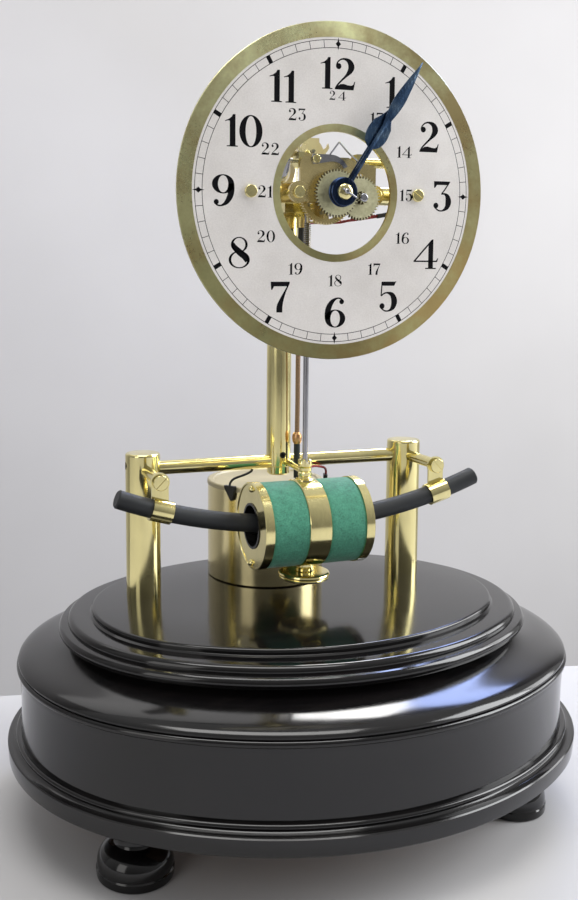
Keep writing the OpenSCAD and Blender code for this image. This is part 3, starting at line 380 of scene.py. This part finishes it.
EVEN, UPRIGHT = (1, 1, 1), (1, 1, 0.15)
FINISHES = {
    "polished_brass": brass("polished_brass", (238, 226, 164), (0.10, 0.20), 900, UPRIGHT, spread=0.08),
    "movement_brass": brass("movement_brass", (224, 206, 148), (0.17, 0.30), 900, (0.5, 1, 1), spread=0.08,
                            height=0.001, metallic=0.85),
    "satin_brass": brass("satin_brass", (244, 242, 186), (0.24, 0.36), 700, EVEN, height=0.003,
                         turned=0.85, stain_and_shade=0.65),
    "cock_brass": brass("cock_brass", (234, 224, 192), (0.20, 0.32), 700, EVEN, spread=0.06,
                        height=0.002, metallic=0.55),
    "can_brass": brass("can_brass", (232, 218, 166), (0.15, 0.26), 800, (1, 1, 0.2), spread=0.07),
    "lid_brass": brass("lid_brass", (188, 178, 146), (0.38, 0.52), 700, EVEN, spread=0.07, height=0.006),
    "copper_strands": brass("copper_strands", (204, 158, 112), (0.22, 0.42), 2600, (1, 1, 0.22),
                            spread=0.35, height=0.05),
}


def wheel_brass():
    """Grained faces that catch the light, and painted shade on the teeth: every side that does not face
    front or back is painted dark.
    """
    f = Finish("wheel_brass", metallic=0.8)
    fine = f.noise(900, detail=5, stretch=(1, 0.3, 1))
    normal = f.tree.nodes.new("ShaderNodeNewGeometry").outputs["True Normal"]
    facing = f.vector("ABSOLUTE", normal).outputs["Vector"]
    face = f.spread(f.parts(facing)["Y"], 0, 1, at=(0.45, 0.8))
    light = f.ramp(fine, [(0.3, linear((208, 204, 160))), (0.7, linear((232, 228, 190)))])
    # Painted shade: the dark colour goes where the surface turns away from front and back, on tooth flanks
    # and rims.
    f.feed("Base Color", f.mix(face, linear((88, 76, 44)), light))
    f.feed("Roughness", f.spread(fine, 0.30, 0.45))
    f.bump(fine, 0.002, 0.4)
    return f.material


FINISHES["wheel_brass"] = wheel_brass()
print("brasses:", sorted(FINISHES))

# %% [markdown]
# The hands are polished steel, heated until the skin turns blue. The blue is
# paler along the blades and painted darker towards the ring, nearly black at
# it, as painted shade. The bar magnet is forged and left dull and dark. The
# pendulum rod and the springs are drawn wire, with their grain along the length.

# %% Steels
FINISHES["steel"] = brass("steel", (172, 172, 176), (0.16, 0.30), 1300, (1, 1, 0.2))
FINISHES["bright_wire"] = brass("bright_wire", (140, 128, 98), (0.16, 0.28), 900, EVEN, spread=0.05)
FINISHES["black_steel"] = brass("black_steel", (52, 50, 52), (0.25, 0.40), 900, EVEN, spread=0.2)


def blued_steel():
    f = Finish("blued_steel", metallic=1.0)
    broad = f.noise(120, detail=3)
    fine = f.noise(1500, detail=5, stretch=(1, 1, 0.2))
    blues = f.ramp(f.total(broad, fine, 0.3), [(0.40, linear((46, 62, 92))),
                                              (0.62, linear((76, 102, 136))),
                                              (0.9, linear((128, 150, 170)))])
    # Painted shade: within about 5 mm of the hub the blue is darkened to nearly black, fading out by 24 mm.
    flat = f.vector("MULTIPLY", f.place, (1, 0, 1)).outputs["Vector"]
    from_hub = f.vector("DISTANCE", flat, (0, 0, DIAL_Z * MM)).outputs["Value"]
    away = f.spread(from_hub, 0, 1, at=(0.005, 0.024))
    f.feed("Base Color", f.mix(away, f.mix(1.0, blues, (0.20, 0.20, 0.26, 1.0), "MULTIPLY"), blues))
    f.feed("Roughness", f.spread(fine, 0.16, 0.30))
    f.bump(fine, 0.003, 0.4)
    return f.material


def magnet_steel():
    f = Finish("magnet_steel", metallic=0.35)
    broad = f.noise(60, detail=5, stretch=(0.3, 1, 1))
    fine = f.noise(900, detail=8, rough=0.7)
    f.feed("Base Color", f.ramp(broad, [(0.3, linear((34, 36, 38))), (0.75, linear((56, 58, 60)))]))
    f.feed("Roughness", f.spread(f.total(broad, fine, 0.6), 0.42, 0.62, at=(0.5, 1.1)))
    f.bump(fine, 0.03, 0.5)
    return f.material


FINISHES["blued_steel"] = blued_steel()
FINISHES["magnet_steel"] = magnet_steel()
print("finishes so far:", len(FINISHES))

# %% [markdown]
# Ebonised wood is stained black and then polished with shellac: the polish is
# a clear skin over a nearly black ground, so almost all that is seen of it is
# reflection. Old polish is never flat. Broad noise bends the reflections a
# little, and the grain shows where light rakes over it. The underside and the
# inside were never polished and stay bare wood.

# %% Woods
def ebonised(name):
    f = Finish(name, IOR=1.5, Coat_Weight=0.04, Coat_Roughness=0.04)
    broad = f.noise(14, detail=4)
    grain = f.noise(220, detail=8, rough=0.62, stretch=(0.08, 1, 1), distortion=0.4)
    wear = f.noise(45, detail=7, rough=0.68)
    f.feed("Base Color", f.ramp(f.total(grain, wear, 0.5),
                                [(0.5, linear((6, 6, 7))), (0.95, linear((17, 15, 15)))]))
    f.feed("Roughness", f.spread(f.total(wear, grain, 0.4), 0.07, 0.20, at=(0.45, 1.05)))
    f.bump(f.total(grain, broad, 1.6), 0.03, 0.32)
    return f.material


def bare_wood():
    f = Finish("bare_wood")
    grain = f.noise(160, detail=8, stretch=(0.06, 1, 1), distortion=0.8)
    f.feed("Base Color", f.ramp(grain, [(0.3, linear((92, 66, 42))), (0.7, linear((138, 104, 70)))]))
    f.feed("Roughness", f.spread(grain, 0.6, 0.85))
    f.bump(grain, 0.15, 0.5)
    return f.material


FINISHES["ebonised_wood"] = ebonised("ebonised_wood")
FINISHES["bare_wood"] = bare_wood()
print("woods:", [name for name in FINISHES if "wood" in name])

# %% [markdown]
# The windings are wrapped in green paper, whose fibres give it a felt-like
# speckle. The leads are rubber and cotton. The dial face is silvered: silver
# is rubbed into the brass as a paste, which leaves it pale, matt and faintly
# grained rather than mirror-like, so it is only a quarter metal here.

# %% Paper, rubber, cotton and silvering
def green_paper():
    f = Finish("green_paper", Sheen_Weight=0.2, Sheen_Roughness=0.5)
    fibre = f.noise(1500, detail=6, rough=0.7, distortion=0.6)
    clouds = f.noise(420, detail=4, rough=0.6)
    tone = f.total(fibre, clouds, 0.38)
    f.feed("Base Color", f.ramp(tone, [(0.5, linear((42, 104, 82))), (0.75, linear((66, 144, 116))),
                                       (0.95, linear((92, 158, 130)))]))
    f.feed("Roughness", f.spread(fibre, 0.62, 0.85))
    f.bump(fibre, 0.04, 0.5)
    return f.material


def rubber(name, colour, rough=(0.45, 0.7), grain=600, **sockets):
    f = Finish(name, **sockets)
    fine = f.noise(grain, detail=6, rough=0.65)
    dark, light = shades(colour, 0.22)
    f.feed("Base Color", f.ramp(fine, [(0.3, dark), (0.7, light)]))
    f.feed("Roughness", f.spread(fine, rough[0], rough[1]))
    f.bump(fine, 0.03, 0.5)
    return f.material


def silvering():
    f = Finish("silvered_dial", metallic=0.25)
    broad = f.noise(26, detail=4, rough=0.6)
    speck = f.noise(1500, detail=3, rough=0.7)
    f.feed("Base Color", f.ramp(f.total(broad, speck, 0.6),
                                [(0.55, linear((212, 207, 202))), (0.95, linear((234, 230, 226)))]))
    f.feed("Roughness", f.spread(speck, 0.42, 0.58))
    f.bump(speck, 0.010, 0.35)
    return f.material


FINISHES["green_paper"] = green_paper()
FINISHES["black_rubber"] = rubber("black_rubber", (34, 34, 36))
FINISHES["red_wire"] = rubber("red_wire", (152, 32, 32), (0.4, 0.6), 1600)
FINISHES["brown_wire"] = rubber("brown_wire", (142, 112, 80), (0.4, 0.6), 1400)
FINISHES["black_tube"] = rubber("black_tube", (22, 21, 21), (0.22, 0.4), 300)
FINISHES["silvered_dial"] = silvering()
print("finishes:", len(FINISHES))

# %% [markdown]
# Wall and shelf have a plain matt paint, a shade darker on the shelf, where
# the light falls straight on it.

# %% Paint for the wall and the shelf
def paint(name, colour):
    f = Finish(name)
    broad = f.noise(3, detail=3)
    tone = f.ramp(broad, [(0.3, linear([c - 6 for c in colour])), (0.7, linear([c + 1 for c in colour]))])
    f.feed("Base Color", tone)
    f.feed("Roughness", f.spread(broad, 0.75, 0.9))
    return f.material


shelf.data.materials.append(paint("shelf_paint", (192, 191, 192)))
wall.data.materials.append(paint("wall_paint", (207, 205, 206)))
print("painted:", shelf.name, wall.name)

# %% [markdown]
# Every solid takes the finish of its slot in the record. A few need one of
# their own: the battery's can is thinner, browner brass, the wheels have
# grained faces, and the bracket that holds the pendulum is paler metal.

# %% Give each solid its finish
SLOT_OF = {p["node"]: p["material_slot"] for p in frame["record"]["subparts"]}


def dress(piece, slot):
    piece.data.materials.clear()
    piece.data.materials.append(FINISHES[slot])


for node_name, solid in NODES.items():
    dress(solid, SLOT_OF[node_name])
OWN_FINISH = {"battery_can": "can_brass", "hour_wheel": "wheel_brass", "minute_wheel": "wheel_brass",
              "cannon_pinion": "wheel_brass", "suspension_cock": "cock_brass",
              "suspension_saddle": "cock_brass"}
for node_name, finish in OWN_FINISH.items():
    dress(NODES[node_name], finish)
print("dressed:", len(NODES), "solids,", len(OWN_FINISH), "of them with a finish of their own")

# %% [markdown]
# The dial is silvered brass with the figures printed in black. The figures
# are of the bold kind with strong contrast between stem and hairline, so each
# one is built from a few strokes that swell and thin, as a pen would draw
# them. The same strokes, lighter, make the small afternoon hours.

# %% Strokes for the figures
def catmull(points, steps):
    """A smooth run of points through the given ones; every value is blended."""
    run = []
    last = len(points) - 1
    for i in range(last):
        a, b, c, d = (points[max(i - 1, 0)], points[i], points[i + 1], points[min(i + 2, last)])
        for k in range(steps):
            t = k / steps
            run.append(tuple(0.5 * (2 * q + (r - p) * t + (2 * p - 5 * q + 4 * r - s) * t * t
                                    + (3 * q - p - 3 * r + s) * t ** 3) for p, q, r, s in zip(a, b, c, d)))
    return run + [tuple(points[-1])]


class Ink:
    """Collects flat shapes in the plane of the dial, in millimetres from its centre."""

    def __init__(self):
        self.verts, self.faces = [], []

    def shape(self, points):
        start = len(self.verts)
        self.verts += points
        self.faces.append(tuple(range(start, start + len(points))))

    def ribbon(self, left, right, closed=False):
        start, n = len(self.verts), len(left)
        self.verts += left + right
        for i in range(n if closed else n - 1):
            j = (i + 1) % n
            self.faces.append((start + i, start + j, start + n + j, start + n + i))

    def ring(self, outer, inner, sides=240):
        around = [2 * math.pi * i / sides for i in range(sides)]
        self.ribbon([(outer * math.sin(a), outer * math.cos(a)) for a in around],
                    [(inner * math.sin(a), inner * math.cos(a)) for a in around], closed=True)

    def stroke(self, points, place):
        run = catmull(points, 6)
        left, right = [], []
        for i, (x, y, w) in enumerate(run):
            ax, ay, _ = run[max(i - 1, 0)]
            bx, by, _ = run[min(i + 1, len(run) - 1)]
            n = math.hypot(bx - ax, by - ay) or 1
            dx, dy = -(by - ay) / n * w / 2, (bx - ax) / n * w / 2
            left.append(place(x + dx, y + dy))
            right.append(place(x - dx, y - dy))
        self.ribbon(left, right)

    def oval(self, cx, cy, a, b, ta, tb, place, sides=56):
        around = [2 * math.pi * i / sides for i in range(sides)]
        self.ribbon([place(cx + a * math.cos(t), cy + b * math.sin(t)) for t in around],
                    [place(cx + (a - ta) * math.cos(t), cy + (b - tb) * math.sin(t)) for t in around], True)

    def dot(self, cx, cy, r, place):
        self.shape([place(cx + r * math.cos(math.radians(15 * i)), cy + r * math.sin(math.radians(15 * i)))
                    for i in range(24)])


# Each figure stands on a line, one unit high: o is an oval, s a swelling
# stroke of (x, y, width), d a round end and p a plain outline.
FIGURES = {
    "0": [("o", .40, .50, .39, .50, .19, .035)],
    "1": [("p", [(.37, 1), (.37, .04), (.45, .03), (.45, 0), (.08, 0), (.08, .03), (.18, .04), (.18, .79),
                 (.13, .80), (.02, .775), (.02, .80), (.14, .845), (.24, .92), (.29, 1)])],
    "2": [("d", .17, .735, .09),
          ("s", [(.09, .75, .03), (.14, .87, .04), (.26, .955, .045), (.40, .965, .07), (.55, .89, .15),
                 (.62, .74, .20), (.575, .60, .16), (.45, .45, .08), (.30, .31, .055), (.15, .16, .05),
                 (.07, .04, .05)]),
          ("p", [(.04, 0), (.71, 0), (.765, .27), (.73, .27), (.70, .18), (.63, .14), (.50, .15),
                 (.36, .185), (.24, .175), (.13, .11), (.04, .04)])],
    "3": [("p", [(.07, 1), (.69, 1), (.69, .965), (.62, .88), (.19, .88), (.12, .78), (.08, .78)]),
          ("s", [(.655, .955, .035), (.48, .71, .035), (.37, .575, .035)]),
          ("s", [(.36, .575, .03), (.49, .58, .06), (.60, .49, .15), (.64, .31, .20), (.58, .13, .14),
                 (.42, .022, .05), (.26, .03, .045), (.12, .13, .03)]), ("d", .165, .19, .09)],
    "4": [("p", [(.56, .03), (.56, .80), (.70, 1), (.745, 1), (.745, .03)]),
          ("s", [(.70, .975, .05), (.36, .62, .05), (.03, .265, .05)]),
          ("p", [(0, .235), (.90, .235), (.95, .36), (.91, .36), (.86, .285), (0, .285)]),
          ("p", [(.45, 0), (.86, 0), (.86, .04), (.45, .04)])],
    "5": [("p", [(.13, 1), (.62, 1), (.68, 1.02), (.60, .86), (.17, .86)]),
          ("s", [(.145, .99, .03), (.13, .75, .03), (.115, .52, .03)]),
          ("s", [(.115, .52, .03), (.22, .60, .045), (.36, .625, .06), (.53, .55, .15), (.61, .35, .20),
                 (.56, .14, .15), (.42, .025, .055), (.26, .02, .045), (.11, .12, .03)]),
          ("d", .155, .18, .09)],
    "6": [("o", .42, .30, .37, .30, .18, .035), ("d", .65, .86, .08),
          ("s", [(.71, .885, .03), (.60, .965, .045), (.46, .965, .055), (.30, .86, .13), (.18, .66, .18),
                 (.14, .46, .185), (.145, .28, .18)])],
    "7": [("p", [(0, 1), (.67, 1), (.67, .95), (.60, .85), (.12, .85), (.06, .74), (.02, .74)]),
          ("s", [(.645, .94, .03), (.52, .70, .06), (.40, .44, .12), (.32, .2, .185), (.31, 0, .19)])],
    "8": [("o", .38, .755, .285, .245, .075, .035), ("o", .38, .275, .36, .275, .08, .035),
          ("s", [(.155, .80, .10), (.22, .67, .16), (.38, .52, .19), (.56, .38, .19), (.65, .22, .13)])],
}
# The nine is the six turned upside down.
FIGURES["9"] = []
for part in FIGURES["6"]:
    if part[0] == "s":
        FIGURES["9"].append(("s", [(.80 - x, 1 - y, w) for x, y, w in part[1]]))
    elif part[0] == "o":
        FIGURES["9"].append(("o", .80 - part[1], 1 - part[2], *part[3:]))
    else:
        FIGURES["9"].append(("d", .80 - part[1], 1 - part[2], part[3]))


THINNEST = 0.045


def draw_figure(ink, figure, place, weight):
    """place puts a point of the figure on the dial; weight thickens the stems."""
    for part in FIGURES[figure]:
        if part[0] == "o":
            cx, cy, a, b, ta, tb = part[1:]
            ink.oval(cx, cy, a, b, ta * weight, tb, place)
        elif part[0] == "d":
            ink.dot(part[1], part[2], part[3] * (0.4 + 0.6 * weight), place)
        elif part[0] == "s":
            ink.stroke([(x, y, max(THINNEST, w * weight)) for x, y, w in part[1]], place)
        else:
            ink.shape([place(x, y) for x, y in part[1]])


WIDTH = {"0": .80, "1": .46, "2": .78, "3": .72, "4": .95, "5": .72, "6": .80, "7": .68, "8": .75, "9": .80}


def write_hour(ink, text, centre, height, gap, weight):
    """Writes the figures side by side, the middle of the whole at centre."""
    total = sum(WIDTH[c] for c in text) + gap * (len(text) - 1)
    x0 = -total / 2
    for c in text:
        start = x0

        def place(x, y, start=start):
            return centre[0] + (start + x) * height, centre[1] + (y - 0.5) * height

        draw_figure(ink, c, place, weight)
        x0 += WIDTH[c] + gap


print("figures:", len(FIGURES), "of", sum(len(parts) for parts in FIGURES.values()), "strokes and shapes")

# %% [markdown]
# The print itself is a thin layer of ink: twelve large hours, the afternoon
# hours in small figures inside them, and the minute track between two fine
# rings, with a diamond at each quarter and a bar at the other hours. It could
# be a picture laid on the dial, but a mesh stays sharp however near the
# camera comes. It rides on the stand, a hundredth of a millimetre off the face.

# %% Print the dial
SHEET_FRONT = -39.95
INK_DEPTH = 0.012
ink = Ink()


def round_dial(hour, radius):
    """Where an hour stands on a circle of this radius."""
    angle = math.radians(30 * hour)
    return radius * math.sin(angle), radius * math.cos(angle)


LARGE_RADIUS, LARGE_HEIGHT = 47.2, 12.1
LARGE_OUT_OF_LINE = {12: 46.2, 1: 46.5, 10: 45.2, 11: 46.3}
for hour in range(1, 13):
    centre = round_dial(hour, LARGE_OUT_OF_LINE.get(hour, LARGE_RADIUS))
    write_hour(ink, str(hour), centre, LARGE_HEIGHT, gap=0.03, weight=1.1)

SMALL_RADIUS, SMALL_HEIGHT = 34.4, 4.6
SMALL_OUT_OF_LINE = {15: 31.0, 21: 30.3, 22: 32.6, 24: 37.8}
for hour in range(13, 25):
    centre = round_dial(hour, SMALL_OUT_OF_LINE.get(hour, SMALL_RADIUS))
    if hour == 24:
        write_hour(ink, "24", centre, 3.5, gap=0.35, weight=1.0)
    else:
        write_hour(ink, str(hour), centre, SMALL_HEIGHT, gap=0.10, weight=1.0)

TRACK_IN, TRACK_OUT, LINE = 55.9, 58.9, 0.12
for r in (TRACK_IN, TRACK_OUT):
    ink.ring(r + LINE, r - LINE)
for minute in range(60):
    a = math.radians(6 * minute)
    out, across = (math.sin(a), math.cos(a)), (math.cos(a), -math.sin(a))
    if minute % 15 == 0:
        outline = [(54.9, 0), (56.5, 0.35), (57.4, 1.15), (58.3, 0.35), (59.9, 0)]
        outline += [(r, -w) for r, w in reversed(outline[1:4])]
    elif minute % 5 == 0:
        low, high, half = TRACK_IN - 0.1, TRACK_OUT + 0.1, 0.85
        outline = [(low, -half), (high, -half), (high, half), (low, half)]
    else:
        outline = [(TRACK_IN, -LINE), (TRACK_OUT, -LINE), (TRACK_OUT, LINE), (TRACK_IN, LINE)]
    ink.shape([(r * out[0] + w * across[0], r * out[1] + w * across[1]) for r, w in outline])

print_y = (SHEET_FRONT - INK_DEPTH) * MM
dial_print = mesh_object("dial_print", [(x * MM, print_y, (DIAL_Z + y) * MM) for x, y in ink.verts],
                         ink.faces, smooth=False)
FINISHES["dial_ink"] = rubber("dial_ink", (9, 8, 12), (0.6, 0.8), 900, Specular_IOR_Level=0.1)
dress(dial_print, "dial_ink")
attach(dial_print, "stand")
print("print:", len(ink.faces), "shapes")

# %% [markdown]
# The plinth is moulded work on an oval made of four arcs: two small
# arcs for the ends and two large ones for the long sides, which meet without
# a kink. Every line round it keeps its distance from the next, so a moulding
# is one profile carried round the oval. The solids hold the same profiles
# with few steps; here they get many, because polish shows each flat.

# %% Profiles and the oval
def arc(cx, cy, r, start, end, steps):
    return [(cx + r * math.cos(math.radians(start + (end - start) * i / steps)),
             cy + r * math.sin(math.radians(start + (end - start) * i / steps))) for i in range(steps + 1)]


def swoop(points, steps):
    """A curve with two handles, as a list of points."""
    run = []
    for i in range(steps + 1):
        t = i / steps
        weights = ((1 - t) ** 3, 3 * t * (1 - t) ** 2, 3 * t * t * (1 - t), t ** 3)
        run.append(tuple(sum(w * p[k] for w, p in zip(weights, points)) for k in (0, 1)))
    return run


END_CENTRE, SIDE_CENTRE = 37.2, 49.6
END_ANGLE = math.atan2(4, 3)


def on_oval(half_length, turn):
    """The point of an oval of this half length where it faces the angle turn."""
    c, s = math.cos(turn), math.sin(turn)
    if abs(s) <= math.sin(END_ANGLE):
        r = half_length - END_CENTRE
        return math.copysign(END_CENTRE, c) + r * c, r * s
    r = half_length - END_CENTRE + math.hypot(END_CENTRE, SIDE_CENTRE)
    return r * c, r * s - math.copysign(SIDE_CENTRE, s)


def oval_piece(name, profile, closed, slot, around=224):
    """Carries a profile of (half length, height) round the oval, in millimetres."""
    turns = [2 * math.pi * (i + 0.5) / around for i in range(around)]
    verts = []
    for a, z in profile:
        verts += [(*(v * MM for v in on_oval(a, t)), z * MM) for t in turns]
    faces = strip_faces(len(profile), around, close_rows=closed, close_columns=True)
    if not closed:
        faces.append(tuple(range(around)))
        faces.append(tuple(range((len(profile) - 1) * around, len(profile) * around)))
    piece = sharpen(mesh_object(name, verts, faces), degrees=24)
    dress(piece, slot)
    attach(piece, "stand")
    return piece


print("an oval 260 long is", round(2 * on_oval(130, math.pi / 2)[1], 1), "deep")

# %% [markdown]
# From the top down: a board with a bead and a step round its edge, a hollow
# body whose shoulder swells out and turns under a small lip, and a moulding
# round its foot. Each profile is a run of points and arcs, so a bead is one
# arc and can be made fatter by one number. The three stay separate pieces,
# because the joins between them are what the polish shows as fine dark lines.

# %% Plinth
TOP, SHOULDER, RING, UNDER = 80.0, 71.4, 39.3, 28.6
top_line = [(60, TOP), (102.6, TOP), (103.2, 80.7)] + arc(104.4, 83.4, 2.6, -100, 55, 16)
top_line += [(103, 86)] + arc(100.6, 86.6, 2.4, 0, 90, 12) + [(93.5, 89), (92.5, 89.6)]
top_line += arc(91.3, 90.8, 1.2, 0, 90, 8) + [(60, 92)]
plinth_cap = oval_piece("plinth_cap", top_line, False, "ebonised_wood")
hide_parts("plinth_top")

body_line = [(109, RING), (109, 62), (92, 73), (92, TOP)]
body_line += swoop([(103, TOP), (108.5, 75.2), (121.5, 75.8), (124.6, SHOULDER)], 30)
body_line += [(124.7, SHOULDER - 0.6), (123.9, SHOULDER - 1)] + arc(123.9, SHOULDER - 2.7, 1.5, 80, -70, 16)
body_line += swoop([(124.4, SHOULDER - 5.2), (123.5, 60), (123.4, 50), (124, RING)], 16)
plinth_drum = oval_piece("plinth_drum", body_line, True, "ebonised_wood")
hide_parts("plinth_body")

base_line = [(108, UNDER), (129, UNDER), (129.6, 29.2), (130, 35.2), (129.9, 35.7), (129.4, 36.1)]
base_line += [(127.8, 36.2), (126.8, 36.5), (126, 37.1)] + arc(125.2, RING - 1.2, 1.2, -40, 90, 14)
base_line += [(108, RING)]
plinth_base = oval_piece("plinth_base", base_line, True, "ebonised_wood")
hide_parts("plinth_moulding")
print("plinth rows:", len(top_line), len(body_line), len(base_line))

# %% [markdown]
# The four bun feet are turned on a lathe, each a flattened ball below a short
# neck. A turned piece is a profile spun round an upright axis.

# %% Turned feet
def spin(profile, x, y, sides=72):
    """Points and faces of a profile of (radius, height) spun round the axis at x, y."""
    verts = []
    for r, z in profile:
        for i in range(sides):
            t = 2 * math.pi * i / sides
            verts.append(((x + r * math.cos(t)) * MM, (y + r * math.sin(t)) * MM, z * MM))
    return verts, strip_faces(len(profile), sides, close_columns=True)


def gather(name, parts, slot, body, crease):
    """Joins several lists of points and faces into one piece on a body."""
    verts, faces = [], []
    for more, sides in parts:
        faces += [tuple(v + len(verts) for v in face) for face in sides]
        verts += more
    piece = sharpen(mesh_object(name, verts, faces), crease)
    dress(piece, slot)
    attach(piece, body)
    return piece


foot_line = [(0.01, 0), (14.8, 0), (15.4, 0.5), (15.6, 1.4), (15.6, 3.6), (15.2, 4.2)]
foot_line += swoop([(15.3, 4.6), (15.6, 10.4), (12.4, 12.6), (8.6, 14)], 20)
foot_line += swoop([(8.4, 14.4), (7.2, 17), (7.4, 23), (12.5, UNDER)], 12)
bun_feet = gather("bun_feet", [spin(foot_line, x, y) for x in (-86, 86) for y in (-45.7, 45.7)],
                  "ebonised_wood", "stand", crease=30)
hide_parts("feet")
print("feet:", len(bun_feet.data.polygons), "faces")

# %% [markdown]
# The hands are cut from steel, filed to a ridge along the middle, polished
# and heated until they turn blue. The ridge is what makes one flank light
# and the other dark, so each hand is built as two sloping flanks on a thin
# flat back, with a flat ring round the arbor. Each rides on its own body and
# is drawn at the time the clock shows.

# %% Blued hands
HAND_BODY = {"long_hand": "minute_work", "short_hand": "hour_work"}
HOURS, MINUTES = 1, 5.5
STEM_END = 10


def hand_piece(name, edge, ring_out, ring_in, front_y, turn):
    """edge is the half outline of (half width, distance) from the ring outwards; turn is in degrees."""
    thick, low = 0.6, 0.28
    turn = math.radians(turn)
    across = (math.cos(turn), -math.sin(turn))
    along = (math.sin(turn), math.cos(turn))

    def at(w, h, depth):
        x, z = w * across[0] + h * along[0], w * across[1] + h * along[1]
        return x * MM, (front_y + depth) * MM, (DIAL_Z + z) * MM

    verts, faces = [], []
    for w, h in edge:
        ridge = 0.0 if h > STEM_END else 0.05
        verts += [at(-w, h, thick), at(-w, h, low), at(-w * 0.5, h, (low + ridge) / 2),
                  at(0, h, ridge), at(w * 0.5, h, (low + ridge) / 2), at(w, h, low), at(w, h, thick)]
    faces += strip_faces(len(edge), 7, close_columns=True)
    faces += [tuple(range(7)), tuple(range(len(verts) - 7, len(verts)))]
    ring = [(ring_in, thick), (ring_in, 0.05), (ring_in + 0.1, 0),
            (ring_out - 0.35, 0), (ring_out, 0.3), (ring_out, thick)]
    ring_verts = [at(r * math.cos(a), r * math.sin(a), d) for r, d in ring
                  for a in (2 * math.pi * i / 72 for i in range(72))]
    ring_faces = strip_faces(len(ring), 72, close_rows=True, close_columns=True)
    return gather(name, [(verts, faces), (ring_verts, ring_faces)], "blued_steel", HAND_BODY[name], crease=7)


long_edge = [(0.95, 5.0)] + [(0.95 - 0.15 * i / 8, 5 + 22 * i / 8) for i in range(1, 9)]
long_edge += swoop([(0.8, 30), (1.1, 33), (2.7, 38), (2.4, 44)], 14)
long_edge += swoop([(2.1, 47), (1.6, 52), (0.9, 55), (0.12, 60.5)], 14)
long_hand = hand_piece("long_hand", long_edge, ring_out=5.6, ring_in=1.5, front_y=-47.9, turn=6 * MINUTES)
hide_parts("minute_hand")
short_edge = [(1.0, 5.2)] + [(1.0 - 0.15 * i / 6, 5.2 + 14.4 * i / 6) for i in range(1, 7)]
short_edge += swoop([(0.85, 21), (3.4, 21.6), (5.2, 25), (4.6, 29)], 14)
short_edge += swoop([(4.2, 31.6), (2.6, 34), (1.4, 36), (0.15, 42)], 14)
short_hand = hand_piece("short_hand", short_edge, ring_out=5.8, ring_in=2.5, front_y=-45.9,
                        turn=30 * HOURS + MINUTES / 2)
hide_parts("hour_hand")
print("hands:", len(long_edge), len(short_edge), "stations")

# %% [markdown]
# Each winding is thousands of turns of fine wire under a wrap of green
# paper. What shows is the wrap: it follows the wire a little, it ends in a
# slightly frayed edge beside the brass, and one seam runs along it where the
# paper was pasted down.

# %% Paper wraps of the two windings
def wrap_piece(side, around=160, along=22):
    """A wrap between the band and a flange; side is -1 for the left one."""
    inner, outer = 5.0, 21.2
    paper, core, seam = 18.62, 10, 0.09

    def at(x, r, t):
        return x * MM, (PENDULUM_Y + r * math.cos(t)) * MM, (COIL_Z + r * math.sin(t)) * MM

    verts = []
    for i in range(along + 1):
        s = i / along
        x = side * (inner + (outer - inner) * s)
        for k in range(around):
            t = 2 * math.pi * k / around
            r = paper + 0.05 * math.sin(3 * t + 4 * s) * math.sin(math.pi * s)
            r += 0.03 * math.sin(17 * t + 9 * s) + 0.02 * math.sin(41 * t - 23 * s)
            if 1 <= k <= 3:
                r += seam
            fray = 0.10 * math.sin(29 * t) + 0.08 * math.sin(53 * t + 1.3)
            if i in (0, along):
                r -= 0.25
            elif i in (1, along - 1):
                x += side * fray * (1 if i == 1 else -1) * 0.5
            verts.append(at(x, r, t))
    for i in (0, along):
        x = side * (inner + (outer - inner) * i / along)
        for k in range(around):
            verts.append(at(x, core, 2 * math.pi * k / around))
    faces = strip_faces(along + 1, around, close_columns=True)
    last = along * around
    first_ring, last_ring = (along + 1) * around, (along + 2) * around
    for k in range(around):
        j = (k + 1) % around
        faces.append((k, j, first_ring + j, first_ring + k))
        faces.append((last + k, last + j, last_ring + j, last_ring + k))
    return verts, faces


paper_wraps = gather("paper_wraps", [wrap_piece(-1), wrap_piece(1)], "green_paper", "pendulum", crease=50)
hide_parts("coil_windings")
print("wraps:", len(paper_wraps.data.polygons), "faces")
